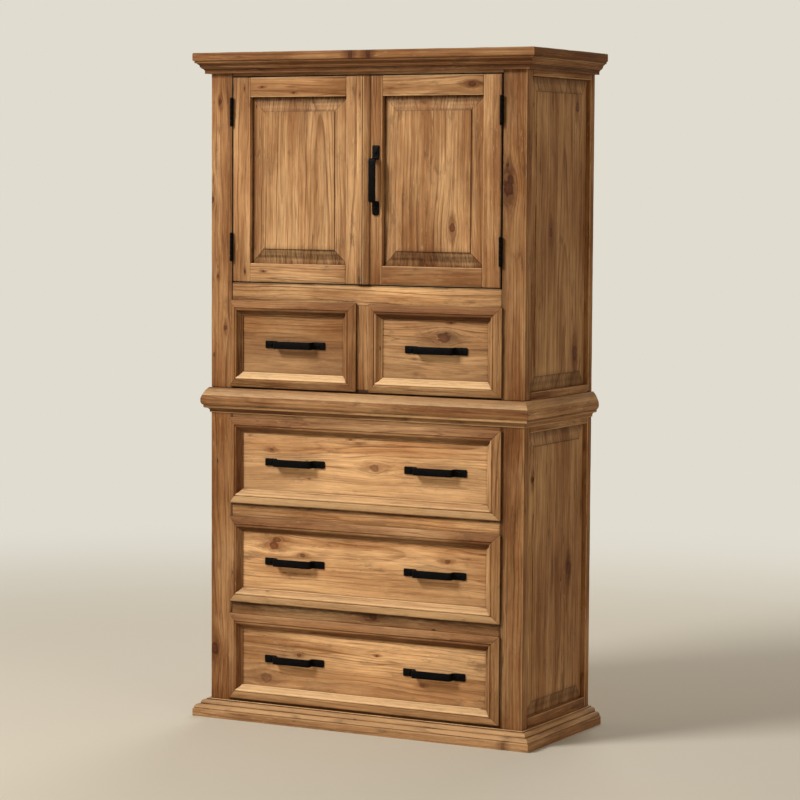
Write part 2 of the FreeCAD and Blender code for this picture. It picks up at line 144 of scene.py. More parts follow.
# %% One material
class Finish:
    def __init__(self, name, library="materials"):
        self.block = getattr(bpy.data, library).new(name)
        self.block.use_nodes = True
        self.tree = self.block.node_tree
        self.tree.nodes.clear()

    def node(self, kind, settings=None, inputs=None, output=0):
        made = self.tree.nodes.new(kind)
        for key, value in (settings or {}).items():
            setattr(made, key, value)
        for key, value in (inputs or {}).items():
            self.feed(made.inputs[key], value)
        return Signal(self, made.outputs[output]) if made.outputs else None

    def feed(self, socket, value):
        if isinstance(value, Signal):
            self.tree.links.new(value.socket, socket)
        elif socket.type == "RGBA" and len(value) == 3:
            socket.default_value = (*value, 1.0)
        else:
            socket.default_value = value

    def maths(self, operation, a, b=0.0):
        vectors = any(isinstance(x, tuple) or (isinstance(x, Signal) and x.wide) for x in (a, b))
        if not vectors:
            return self.node("ShaderNodeMath", {"operation": operation}, {0: a, 1: b})
        a, b = [(x, x, x) if isinstance(x, (int, float)) else x for x in (a, b)]
        return self.node("ShaderNodeVectorMath", {"operation": operation}, {0: a, 1: b})

    def least(self, a, b):
        return self.maths("MINIMUM", a, b)

    def most(self, a, b):
        return self.maths("MAXIMUM", a, b)

    def clipped(self, value, high):
        """The value, but never below 0 or above high."""
        return self.least(self.most(value, 0.0), high)

    def smooth(self, value, low, high):
        """0 below low, 1 above high and a soft rise between."""
        return self.node("ShaderNodeMapRange", {"interpolation_type": "SMOOTHSTEP"},
                         {"Value": value, "From Min": low, "From Max": high})

    def noise(self, vector, detail=2.0, roughness=0.5):
        return self.node("ShaderNodeTexNoise", None,
                         {"Vector": vector, "Scale": 1.0, "Detail": detail, "Roughness": roughness})

    def line_noise(self, value, detail):
        """Noise along one dimension."""
        return self.node("ShaderNodeTexNoise", {"noise_dimensions": "1D"},
                         {"W": value, "Scale": 1.0, "Detail": detail})

    def cells(self, vector):
        return self.node("ShaderNodeTexVoronoi", None, {"Vector": vector, "Scale": 1.0})

    def blend(self, share, a, b):
        """Colour a where share is 0 and colour b where it is 1."""
        return self.node("ShaderNodeMix", {"data_type": "RGBA"}, {0: share, 6: a, 7: b}, output=2)

    def parts(self, vector):
        outputs = self.node("ShaderNodeSeparateXYZ", None, {0: vector}).socket.node.outputs
        return [Signal(self, outputs[i]) for i in range(3)]

    def vector(self, x, y, z):
        return self.node("ShaderNodeCombineXYZ", None, {0: x, 1: y, 2: z})

    def own_place(self):
        """The place in the object's own measures, which are the cabinet's."""
        return self.node("ShaderNodeTexCoord", output="Object")

    def vector_attribute(self, name):
        return self.node("ShaderNodeAttribute", {"attribute_name": name}, output="Vector")

    def number_attribute(self, name):
        return self.node("ShaderNodeAttribute", {"attribute_name": name}, output="Fac")

    def surface(self, colour, roughness, height, bump_strength, specular):
        """Ends the material with one shader and gives the material back."""
        bump = {"Strength": bump_strength, "Distance": 1.0, "Height": height}
        shader = self.node("ShaderNodeBsdfPrincipled", None, {
            "Base Color": colour, "Roughness": roughness, "Specular IOR Level": specular,
            "Normal": self.node("ShaderNodeBump", None, bump)})
        self.node("ShaderNodeOutputMaterial", None, {"Surface": shader})
        return self.block


def paint(red, green, blue):
    """A colour given as it is seen on a screen, 0 to 255, in the linear values nodes take."""
    def linear(level):
        level /= 255
        return level / 12.92 if level <= 0.04045 else ((level + 0.055) / 1.055) ** 2.4
    return linear(red), linear(green), linear(blue)


print("a mid honey colour is", [round(v, 3) for v in paint(190, 140, 92)])

# %% [markdown]
# ## Stained pine
#
# Pine's figure is where a face cuts the tree's yearly rings. So the shader keeps the tree:
# every board carries its place along, across and into the wood, and how far it lay from the
# tree's heart. The distance to the heart, bent a little, gives rings as dark latewood
# lines, which turn out straight near a board's edge and arched at its middle, as sawn
# boards show. Near a knot the lines are pushed aside as water is by a post.
#
# Over the wood lie the maker's stain, a dark glaze left in corners, and pale wood where
# hands have rubbed the edges. Both follow one attribute, which also carries painted shade and
# painted highlight: below 0 it darkens with glaze and painted shade, above 0 it pales with
# rubbing and painted highlight.

# %% Rings and knots
RING_WIDTH = 0.0072
KNOT_NAMES = ("knot_a", "knot_b", "knot_c", "knot_d")
FAR_OFF = 9.0


def knot_field(wood, along, across, name, wobble):
    """How one knot pushes the grain, and how many radii away a place is, round and drawn out."""
    knot_along, knot_across, radius = wood.parts(wood.vector_attribute(name))
    away = along - knot_along
    aside = across - knot_across
    far = (away * 0.5) ** 2.0 + aside * aside + 1e-6
    push = wood.least(radius * radius * 1.8 / far, 1.0)
    size = (0.5 + wobble) / (radius + 1e-5)
    near = wood.maths("SQRT", (away * 0.72) ** 2.0 + aside * aside) * size
    drawn = wood.maths("SQRT", (away * 0.3) ** 2.0 + aside * aside) * size
    return aside * push, near, drawn


def all_knots(wood, place, bent, wobble):
    """The bent grain after every knot's push, and the nearest knot, round and drawn out."""
    along, across, _ = wood.parts(place)
    near, drawn = FAR_OFF, FAR_OFF
    for knot in KNOT_NAMES:
        shift, one_near, one_drawn = knot_field(wood, along, across, knot, wobble)
        bent = bent - shift
        near = wood.least(near, one_near)
        drawn = wood.least(drawn, one_drawn)
    return bent, near, drawn


def latewood_lines(wood, spot, u, bent, deep, broken):
    """The rings' dark lines. Some years left none, and the others are broken here and there."""
    heart = wood.maths("SQRT", bent * bent + deep * deep)
    drift = wood.noise(spot * (8.0, 24.0, 24.0), 1.0) - 0.5
    rings = (heart + u * 0.01 + drift * 0.004) / RING_WIDTH
    rings = rings + wood.line_noise(rings * 0.37, 1.0) * 1.8
    year = wood.maths("FRACT", rings)
    late = wood.smooth(year, 0.5, 0.9) * (1.0 - wood.smooth(year, 0.92, 1.0))
    kept = wood.line_noise(wood.maths("FLOOR", rings) * 7.3, 0.0)
    return late * wood.smooth(kept, 0.3, 0.62) * (0.25 + broken * 0.75)


# %% [markdown]
# The stain soaks in unevenly, and more at a board's ends. Then come the marks of a long life:
# smudges of glaze, dark flecks, pin holes and pale scratches.

# %% Stain and marks
def stained(wood, colour, spot, stain, end, tone, glazing):
    """The colour under its stain. tone makes a whole board darker, or paler below 0."""
    broad = wood.noise(spot * (1.8, 2.5, 2.5) + (1.0, 8.0, 4.0), 1.0)
    soaked = (stain - 0.5) * 2.2 + (broad - 0.5) * 1.4 + (1.0 - wood.smooth(end, 0.0, 0.15)) * 0.35
    darker = tone + (soaked - 0.06) * glazing
    colour = wood.blend(wood.clipped(darker, 1.4), colour, colour * (0.51, 0.39, 0.28))
    return colour * (1.0 + wood.clipped(-darker, 0.8) * 0.5)


def marked(wood, colour, spot, cloud, stain, pin, colours, glazing):
    """The colour with the marks of a long life. pin is 1 in a pin hole."""
    glaze_and_shade_colour, rubbed_and_highlight_colour = colours[-2:]
    fleck = wood.smooth(wood.noise(spot * (60.0, 420.0, 420.0) + (1.0, 4.0, 2.0)), 0.67, 0.75)
    fleck = fleck * wood.smooth(cloud, 0.42, 0.6)
    scratch = wood.noise(spot * (30.0, 300.0, 300.0) + (6.0, 3.0, 8.0), 2.0, 0.6)
    scratch = wood.smooth(scratch, 0.6, 0.76) * wood.smooth(stain, 0.44, 0.62)
    smudge = wood.smooth(wood.noise(spot * (9.0, 24.0, 24.0) + (5.0, 5.0, 8.0), 5.0, 0.7), 0.56, 0.74)
    colour = wood.blend(smudge * 0.5 * glazing, colour, glaze_and_shade_colour)
    colour = wood.blend(fleck * 0.6, colour, glaze_and_shade_colour)
    colour = wood.blend(pin * 0.8, colour, glaze_and_shade_colour)
    return wood.blend(scratch * 0.35 * glazing, colour, rubbed_and_highlight_colour)


# %% [markdown]
# An edge of a board is where two of its three distances to the faces are small. There the
# wood is rubbed pale, but at the ends of the grain, where boards meet, the glaze stays.

# %% Rubbing, glaze and painted light
def handled_levels(wood, to_faces, stain, patch, rub):
    """How much rubbing and painted highlight, and how much glaze and painted shade, a place has."""
    end, side, face = to_faces
    ragged = (patch - 0.5) * 0.005
    worn_edge = 1.0 - wood.smooth(wood.most(side, face) + ragged, 0.0004, 0.0032)
    joint = 1.0 - wood.smooth(end + ragged, 0.0003, 0.0042)
    border = wood.least(end, side) + (stain - 0.5) * 0.006
    # On a board with a frame laid on it, the field darkens near the frame: a glaze line with painted
    # shade under the frame.
    inlaid = wood.smooth(face, 1.0, 2.0) * (1.0 - wood.smooth(side, 1.0, 2.0))
    frame_glaze_and_shade = inlaid * (1.0 - wood.smooth(border, -0.002, 0.009)) * 0.4
    spared = wood.smooth(patch, 0.3, 0.62)
    # Rubbed edges and painted highlight pale the wood. Joint glaze, the frame's painted shade and the
    # attribute's painted shade below 0 darken it.
    rubbing_and_painted_highlight = wood.most(worn_edge * 0.75 * spared, rub * (0.6 + spared * 0.4)) * (1.0 - joint)
    glaze_and_painted_shade = wood.most(wood.most(joint * 0.45, frame_glaze_and_shade), -rub)
    return rubbing_and_painted_highlight, glaze_and_painted_shade * (0.62 + wood.smooth(patch, 0.35, 0.7) * 0.38)


# %% The whole pine shader
def pine(wood, place, tree, half, tone, rub, colours, glazing):
    """Pine from its place in the board, its place in the tree, its handling and its painted light."""
    clear, brown, latewood, knot_colour, glaze_and_shade_colour, rubbed_and_highlight_colour = colours
    spot = place + tree
    u, v, w = wood.parts(spot)
    wobble = wood.noise(spot * (60.0, 110.0, 110.0), 3.0)
    bent = v + (wood.noise(spot * (1.4, 5.0, 5.0)) - 0.5) * 0.05
    deep = w + (wood.noise(spot * (1.1, 6.0, 6.0) + (7.0, 3.0, 1.0), 1.0) - 0.5) * 0.04
    bent, near, drawn = all_knots(wood, place, bent, wobble)
    flow = wood.vector(u, bent, deep)
    core = 1.0 - wood.smooth(near, 0.7, 1.15)
    rim = core * wood.smooth(near, 0.5, 0.9)
    halo = 1.0 - wood.smooth(drawn, 0.5, 2.2)
    broken = wood.smooth(wood.noise(spot * (5.0, 60.0, 60.0) + (2.0, 9.0, 4.0), 3.0, 0.6), 0.3, 0.66)
    line = latewood_lines(wood, spot, u, bent, deep, broken)
    vein = wood.noise(flow * (1.5, 38.0, 38.0) + (8.0, 2.0, 5.0), 2.0, 0.55) - 0.5
    vein = (1.0 - wood.smooth(wood.maths("ABSOLUTE", vein), 0.003, 0.02)) * broken
    cloud = wood.noise(spot * (2.6, 9.0, 9.0), 4.0, 0.6)
    stain = wood.noise(spot * (3.4, 6.5, 6.5) + (3.0, 1.0, 6.0), 4.0, 0.62)
    band = wood.noise(flow * (1.3, 26.0, 26.0) + (4.0, 2.0, 9.0), 3.0, 0.6)
    streak = wood.noise(flow * (3.0, 75.0, 75.0), 4.0, 0.65)
    fibre = wood.noise(flow * (15.0, 420.0, 420.0), 3.0, 0.75)
    patch = wood.noise(place * (26.0, 190.0, 190.0) + tree, 5.0, 0.72)
    pin = 1.0 - wood.smooth(wood.cells(spot * (9.0, 26.0, 26.0)), 0.03, 0.085)
    pin = pin * wood.smooth(cloud, 0.5, 0.56)
    inward = wood.node("ShaderNodeVectorMath", {"operation": "ABSOLUTE"}, {0: place})
    to_faces = wood.parts(half - inward)
    rubbing_and_painted_highlight, glaze_and_painted_shade = handled_levels(wood, to_faces, stain, patch, rub)

    colour = wood.blend(wood.smooth(cloud * 0.45 + band * 0.55, 0.4, 0.62), clear, brown)
    colour = wood.blend(wood.smooth(streak, 0.44, 0.74) * 0.55, colour, latewood)
    for share in (line * 0.8, vein * 0.6, halo * 0.7):
        colour = wood.blend(share, colour, latewood)
    knot_rings = wood.smooth(wood.maths("FRACT", near * 2.5 + wobble), 0.2, 0.9)
    colour = wood.blend(core * (0.6 + knot_rings * 0.3), colour, knot_colour)
    colour = wood.blend(rim * 0.6, colour, glaze_and_shade_colour)
    colour = colour * (1.0 + (fibre - 0.5) * 1.2)
    colour = stained(wood, colour, spot, stain, to_faces[0], tone, glazing)
    colour = marked(wood, colour, spot, cloud, stain, pin, colours, glazing)
    # Painted highlight with the rubbed colour, then painted shade with the glaze colour.
    colour = wood.blend(wood.least(rubbing_and_painted_highlight, 1.0), colour, rubbed_and_highlight_colour)
    colour = wood.blend(wood.clipped(glaze_and_painted_shade, 1.0) * (0.93 * glazing), colour, glaze_and_shade_colour)

    height = line * -0.00012 + fibre * 0.0001 + cloud * 0.0005 - pin * 0.0004 - rim * 0.0005
    roughness = 0.6 + (streak - 0.5) * 0.22 + wood.most(rub, 0.0) * 0.08 - core * 0.1
    return wood.surface(colour, roughness, height, bump_strength=0.8, specular=0.15)


# %% [markdown]
# Two sets of colours are enough: stained and glazed outside, and plain inside. Each lists
# clear wood, brown wood, latewood, knots, glaze and rubbed wood. The glaze colour also paints
# shade, and the rubbed colour paints highlight.

# %% Stained, plain and packed pine
STAINED = (paint(214, 170, 121), paint(170, 122, 78), paint(112, 66, 32), paint(100, 50, 24),
           paint(42, 20, 6), paint(246, 208, 158))
INSIDE = (paint(224, 188, 140), paint(208, 166, 116), paint(176, 122, 74), paint(132, 76, 42),
          paint(110, 68, 36), paint(232, 200, 156))


def board_pine(name, colours, glazing):
    """Pine for the pieces modelled here, which carry their place as attributes."""
    wood = Finish(name)
    place, tree, half = [wood.vector_attribute(word) for word in ("place", "tree", "half")]
    tone, rub = [wood.number_attribute(word) for word in ("tone", "rub")]
    return pine(wood, place, tree, half, tone, rub, colours, glazing)


def packed_pine(name, colours):
    """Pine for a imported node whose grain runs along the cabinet's depth."""
    wood = Finish(name)
    x, y, z = wood.parts(wood.own_place())
    heart = (0.4, 0.03, 0.06)
    return pine(wood, wood.vector(y, x, z), heart, (EVERYTHING,) * 3, 0.0, 0.0, colours, 0.4)


stained_pine = board_pine("stained_pine", STAINED, 1.0)
inside_pine = board_pine("inside_pine", INSIDE, 0.5)
runner_pine = packed_pine("runner_pine", INSIDE)
print("pine nodes:", len(stained_pine.node_tree.nodes))

# %% [markdown]
# ## Black iron
#
# The pulls and hinges are hammered iron under matt black paint. The hammer's faces are
# wide shallow cells, and the paint has a fine grain.

# %% Black iron
def black_iron_finish():
    iron = Finish("black_iron")
    place = iron.own_place()
    hammered = iron.cells(place * 130.0)
    grit = iron.noise(place * 1400.0, 3.0, 0.6)
    patch = iron.noise(place * 60.0, 3.0, 0.6)
    colour = iron.blend(iron.smooth(patch, 0.35, 0.7), paint(5, 5, 5), paint(11, 10, 10))
    height = hammered * hammered * 0.0006 + grit * 0.00004
    roughness = 0.5 + (patch - 0.5) * 0.25 + (grit - 0.5) * 0.1
    return iron.surface(colour, roughness, height, bump_strength=0.7, specular=0.06)


black_iron = black_iron_finish()
print("iron nodes:", len(black_iron.node_tree.nodes))

# %% [markdown]
# ## A piece and its sticks
#
# Several sticks of wood make one piece: a door's frame is two stiles and two rails. Each
# stick is modelled in edit mode as an object of its own, and notes how it lies. At the end
# the grain is laid along each stick, and the sticks are joined.

# %% A piece and the stick in hand
rng = random.Random(11)


def pick(obj, kind, test):
    """Selects only the vertices, edges or faces that pass a test."""
    bpy.ops.mesh.select_mode(type={"verts": "VERT", "edges": "EDGE", "faces": "FACE"}[kind])
    bpy.ops.mesh.select_all(action="DESELECT")
    bm = bmesh.from_edit_mesh(obj.data)
    for part in getattr(bm, kind):
        if test(part):
            part.select_set(True)
    bm.select_flush_mode()
    bmesh.update_edit_mesh(obj.data)


def slice_all(place, normal, **settings):
    """Cuts everything in edit mode along a plane."""
    bpy.ops.mesh.select_all(action="SELECT")
    bpy.ops.mesh.bisect(plane_co=place, plane_no=normal, **settings)


def extrude(move):
    bpy.ops.mesh.extrude_region_move(TRANSFORM_OT_translate={"value": move})


def make_active(objects):
    """Selects some objects and makes the first one active."""
    bpy.ops.object.select_all(action="DESELECT")
    for obj in objects:
        obj.select_set(True)
    bpy.context.view_layer.objects.active = objects[0]


class Piece:
    """A piece that replaces a node. Each stick is an object of its own until they are joined."""

    def __init__(self, node, made="worn"):
        self.node = node
        self.name = f"{made}_{node}"
        self.sticks = []

    def new_mesh(self):
        """An empty mesh in edit mode, ready for the next stick."""
        bpy.ops.object.select_all(action="DESELECT")
        bpy.ops.object.add(type="MESH", location=(0, 0, 0))
        self.obj = bpy.context.object
        bpy.ops.object.mode_set(mode="EDIT")

    def note(self, origin, axes, half, tone=0.0, rub=None):
        """Notes how the stick in hand lies: its middle, and its long, cross and facing axes."""
        tone += rng.uniform(-0.05, 0.05)
        tree = (rng.uniform(-4, 4), rng.uniform(-0.07, 0.07), rng.uniform(0.03, 0.11))
        self.sticks.append({"obj": self.obj, "origin": Vector(origin), "axes": [Vector(a) for a in axes],
                            "half": half, "tone": tone, "tree": tree, "rub": rub})

    def divide_along(self, direction, length, spacing):
        """Divides the stick's long edges, so that its shape can waver along them."""
        cuts = int(length / spacing)
        if cuts > 0:
            def is_long(edge):
                return abs((edge.verts[0].co - edge.verts[1].co).normalized().dot(direction)) > 0.99
            pick(self.obj, "edges", is_long)
            bpy.ops.mesh.subdivide(number_cuts=cuts)

    def ease(self, width, segments=2, sharp=35):
        """Rounds every edge that turns by more than sharp degrees, and leaves edit mode."""
        limit = math.radians(sharp)
        pick(self.obj, "edges", lambda e: len(e.link_faces) == 2 and e.calc_face_angle(0.0) > limit)
        bpy.ops.mesh.bevel(offset=width, segments=segments, profile=0.5, affect="EDGES")
        bpy.ops.object.mode_set(mode="OBJECT")

    def join(self):
        """Joins the sticks into the one finished object."""
        make_active([stick["obj"] for stick in self.sticks])
        if len(self.sticks) > 1:
            bpy.ops.object.join()
        obj = bpy.context.object
        obj.name = obj.data.name = self.name
        return obj


AXES = {"x": Vector((1, 0, 0)), "y": Vector((0, 1, 0)), "z": Vector((0, 0, 1))}


def board(piece, low, high, grain, face, tone=0.0, eased=0.0022, spacing=0.03, framed=0.0, rub=None,
          shade=()):
    """A plain board between two corners. grain is its long axis, face the axis it faces.

    framed is how far a frame laid on the board covers its borders. shade lists (place, level)
    across the board, in the cabinet's measures: the painted shade below 0, and painted highlight
    above 0, that it has there."""
    low, high = Vector(low), Vector(high)
    size, middle = high - low, (low + high) / 2
    piece.new_mesh()
    bpy.ops.mesh.primitive_cube_add(size=1, location=middle, scale=size)
    cross = next(a for a in "xyz" if a not in (grain, face))
    axes = [AXES[grain], AXES[cross], AXES[face]]
    half = [abs(size.dot(a)) / 2 for a in axes]
    if framed:
        half = [half[0] - framed, half[1] - framed, EVERYTHING]
    if shade:
        places = [place - middle.dot(axes[1]) for place, _ in shade]
        levels = [level for _, level in shade]
        rub = lambda u, v, w: np.interp(v, places, levels)
        for place in places:
            if abs(place) < half[1] - 0.0005:
                slice_all(middle + axes[1] * place, axes[1])
    piece.note(middle, axes, half, tone, rub)
    piece.divide_along(axes[0], 2 * half[0], spacing)
    piece.ease(min(eased, 0.4 * min(size)))


# %% [markdown]
# The largest knots and dark marks lie where the photograph shows them. A stick takes only
# those that lie on it, and the shader bends its grain round them.

# %% Knots
# On the cabinet's front: how far right and up each knot lies, and its radius.
FRONT_KNOTS = {
    "upper_right_post": [(0.4225, 1.4420, 0.0135), (0.4285, 1.4640, 0.0085), (0.4110, 1.4560, 0.0050),
                         (0.4190, 1.5030, 0.0035)],
    "lower_left_post": [(-0.4600, 0.1850, 0.0120)],
    "upper_left_post": [(-0.4430, 1.6695, 0.0050), (-0.4680, 1.4070, 0.0060), (-0.4500, 1.2020, 0.0030),
                        (-0.4260, 1.0620, 0.0050)],
    "right_door_panel": [(0.2585, 1.3415, 0.0080)],
    "right_door_frame": [(0.3160, 1.7090, 0.0080)],
    "left_door_frame": [(-0.3110, 1.7080, 0.0028), (-0.3660, 1.7050, 0.0024), (-0.2140, 1.6930, 0.0028),
                        (-0.3640, 1.2160, 0.0030), (-0.3060, 1.2170, 0.0026)],
    "small_right_drawer_front": [(0.2410, 1.0560, 0.0140), (0.2600, 1.0950, 0.0030),
                                 (0.1580, 0.9590, 0.0050), (0.1530, 0.9980, 0.0025)],
    "high_wide_drawer_front": [(0.0360, 0.7060, 0.0095), (-0.2790, 0.7380, 0.0050),
                               (-0.0370, 0.7770, 0.0030), (-0.1630, 0.6670, 0.0030)],
    "middle_wide_drawer_front": [(-0.2620, 0.4965, 0.0080), (-0.2720, 0.4800, 0.0100),
                                 (-0.1825, 0.4590, 0.0055), (0.2540, 0.4720, 0.0055)],
    "low_wide_drawer_front": [(-0.2930, 0.1180, 0.0130), (-0.1930, 0.1890, 0.0045),
                              (0.1830, 0.1390, 0.0050), (0.0460, 0.2070, 0.0030)],
    "drawer_rails": [(0.1260, 0.5300, 0.0100), (0.0330, 0.3110, 0.0090)],
    "left_door_bead": [(-0.0060, 1.2030, 0.0060), (-0.0080, 1.6840, 0.0025)],
}
# On what stands out from the front, and on the right side: x, y, z and the radius.
KNOTS = {
    "plinth_moulding": [(0.4440, FRONT - 0.0280, 0.0330, 0.0040),
                        (-0.1840, FRONT - 0.0340, 0.0270, 0.0030),
                        (-0.0450, FRONT - 0.0340, 0.0300, 0.0045)],
    "plinth_board": [(0.4370, FRONT - 0.0370, 0.0110, 0.0035)],
    "top_board": [(0.0300, FRONT - 0.0370, 1.7940, 0.0045), (-0.0230, FRONT - 0.0370, 1.7970, 0.0045)],
    "upper_right_side_panel": [(HALF, -0.0275, 1.3290, 0.0090), (HALF, 0.1260, 1.0080, 0.0140),
                               (HALF, 0.1280, 1.6570, 0.0100)],
    "lower_right_side_panel": [(HALF, 0.1020, 0.4390, 0.0110), (HALF, -0.1200, 0.6920, 0.0060)],
}
for node, rows in FRONT_KNOTS.items():
    KNOTS[node] = [(x, FRONT, z, radius) for x, z, radius in rows]


def knots_of(stick, node):
    """The knots that lie on this stick, in its own measures, filled up with knots far away."""
    found = []
    for *place, radius in KNOTS.get(node, []):
        from_middle = Vector(place) - stick["origin"]
        own = [from_middle.dot(a) for a in stick["axes"]]
        if abs(own[0]) < stick["half"][0] and abs(own[1]) < stick["half"][1]:
            found.append((own[0], own[1], radius))
    room = len(KNOT_NAMES)
    return (found + [(FAR_OFF, FAR_OFF, 0.0)] * room)[:room]


# %% [markdown]
# Wear isn't even. A Displace modifier with a soft cloud texture moves the eased edges in
# and out by a few tenths of a millimetre, which makes their highlights waver.

# %% Wearing, dressing and placing a piece
worn_cloud = bpy.data.textures.new("worn_cloud", "CLOUDS")
worn_cloud.noise_scale = 0.045
worn_cloud.noise_depth = 2
# Each material slot's material, and the angle in degrees below which its edges look smooth.
DRESSES = {"stained_pine": (stained_pine, 40), "inside_pine": (inside_pine, 40),
           "black_iron": (black_iron, 35)}


def lay_grain(stick, node):
    """Writes place, tree, half, knots, tone and rub on a stick's vertices."""
    mesh = stick["obj"].data
    count = len(mesh.vertices)
    co = np.empty(count * 3)
    mesh.vertices.foreach_get("co", co)
    own = (co.reshape(-1, 3) - np.array(stick["origin"])) @ np.array([list(a) for a in stick["axes"]]).T
    rub = stick["rub"](*own.T) if stick["rub"] else np.zeros(count)
    vectors = {"place": own, "tree": stick["tree"], "half": stick["half"]}
    vectors.update(zip(KNOT_NAMES, knots_of(stick, node), strict=True))
    for name, value in vectors.items():
        made = mesh.attributes.new(name, "FLOAT_VECTOR", "POINT")
        made.data.foreach_set("vector", np.broadcast_to(value, (count, 3)).ravel())
    for name, value in (("tone", stick["tone"]), ("rub", rub)):
        made = mesh.attributes.new(name, "FLOAT", "POINT")
        made.data.foreach_set("value", np.broadcast_to(value, count).ravel())


def apply_modifier(obj, kind, **settings):
    """Adds a modifier with these settings to the active object and applies it."""
    bpy.ops.object.modifier_add(type=kind)
    modifier = obj.modifiers[-1]
    for key, value in settings.items():
        setattr(modifier, key, value)
    bpy.ops.object.modifier_apply(modifier=modifier.name)


def stand_in(obj, node, body, slot):
    """Smooths a finished piece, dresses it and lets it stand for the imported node."""
    material, smooth_below = DRESSES[slot]
    make_active([obj])
    bpy.ops.object.shade_smooth_by_angle(angle=math.radians(smooth_below))
    obj.data.materials.clear()
    obj.data.materials.append(material)
    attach(obj, body)
    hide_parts(node)
    print(obj.name, len(obj.data.polygons), "faces")


def finish_wood(piece, body, slot="stained_pine", wear=0.0011):
    """Lays the grain, joins and wears the piece, and puts it in its node's place."""
    for stick in piece.sticks:
        lay_grain(stick, piece.node)
    obj = piece.join()
    apply_modifier(obj, "DISPLACE", texture=worn_cloud, strength=wear, mid_level=0.5)
    stand_in(obj, piece.node, body, slot)


# %% [markdown]
# ## Posts, rails and frames
#
# The carcass is a frame: corner posts and rails in front, and stiles and rails at the sides.
# Each is a straight board, so a box with eased edges is the right start. The imported nodes
# give the posts' sizes. A post's or rail's tone says how dark it is, and its shade where shade
# is painted on it: painted shadow in the gaps beside the doors and drawers and under their frames.

# %% Posts and front rails
# Each post's tone, and its painted shade by how far right a place is: painted shadow in the
# gaps, spreading softly on the right posts where the drawers' frames would cast it.
POSTS = {
    "upper_left_post": (0.35, [(-0.4130, 0), (-0.4105, -0.35), (-0.4072, -0.45), (-0.4058, -1.0),
                               (-0.4045, -1.8)]),
    "upper_right_post": (0.75, [(0.4045, -1.6), (0.4065, -0.6), (0.4125, -0.42), (0.4200, -0.28),
                                (0.4400, -0.15), (0.4600, 0)]),
    "lower_left_post": (0.8, [(-0.4130, 0), (-0.4105, -0.5), (-0.4085, -0.85), (-0.4045, -1.0)]),
    "lower_right_post": (0.85, [(0.4045, -1.0), (0.4090, -0.9), (0.4125, -0.5), (0.4200, -0.35),
                                (0.4400, -0.22), (0.4600, -0.05)]),
}
for side in ("left", "right"):
    for storey in ("lower", "upper"):
        name = f"{storey}_{side}_post"
        tone, shade = POSTS[name]
        post = Piece(name)
        board(post, *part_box(name), "z", "y", tone, eased=0.0035, shade=shade)
        finish_wood(post, "carcass")

# Each rail's lower and upper end, its tone, and its painted shade by how far up a place is:
# painted shadow under the drawers' frames, the waist moulding and the crown, and in the gaps.
low_wide, middle_wide, high_wide = [WIDE_OPENINGS[word] for word in ("low", "middle", "high")]
RAILS = {
    "lower_bottom_rail": [(LOWER_FLOOR, low_wide[0], 0.5, [(0.045, -0.9), (0.06, -1)])],
    "drawer_rails": [
        (low_wide[1], middle_wide[0], 0.5,
         [(0.288, 0), (0.293, -0.35), (0.301, -0.6), (0.309, -0.85), (0.315, -1), (0.325, -1)]),
        (middle_wide[1], high_wide[0], -0.2,
         [(0.574, 0), (0.579, -0.35), (0.582, -0.7), (0.585, -1), (0.594, -1)])],
    "lower_top_rail": [(high_wide[1], WAIST_LOW, 0.5, [(0.824, 0), (0.828, -0.3), (0.832, -0.6)])],
    "upper_bottom_rail": [(WAIST_HIGH, SMALL_OPENING[0], 0.5, [(0.900, -1.8), (0.910, -1.4)])],
    "upper_middle_rail": [(SMALL_OPENING[1], DOOR_OPENING[0], -0.2,
                           [(1.181, 0), (1.183, -0.8), (1.186, -1)])],
    "upper_top_rail": [(DOOR_OPENING[1], CASE_HIGH, 0.3,
                        [(1.737, -1), (1.739, -0.5), (1.741, 0), (1.745, -0.2)])],
}
for name, rows in RAILS.items():
    rail = Piece(name)
    for low, high, tone, shade in rows:
        board(rail, (-OPENING_HALF, FRONT, low), (OPENING_HALF, RAILS_BACK, high), "x", "y", tone,
              shade=shade)
    finish_wood(rail, "carcass")

divider = Piece("small_drawer_divider")
board(divider, (-DIVIDER_HALF, FRONT, SMALL_OPENING[0]), (DIVIDER_HALF, RAILS_BACK, SMALL_OPENING[1]),
      "z", "y", tone=0.15)
finish_wood(divider, "carcass")

# %% [markdown]
# ## Side frames and raised panels
#
# A raised panel starts as a board. Its front face is inset and pushed out for the bevel,
# then inset and extruded again for the field, with narrow insets at each crease to hold the
# painted shade and highlight, the glaze and the rubbing.

# %% How glazed a panel is
TONGUE, FIELD_STEP, BEVEL = 0.014, 0.0025, 0.039
FIELD_RECESS, TONGUE_DEPTH = 0.006, 0.005
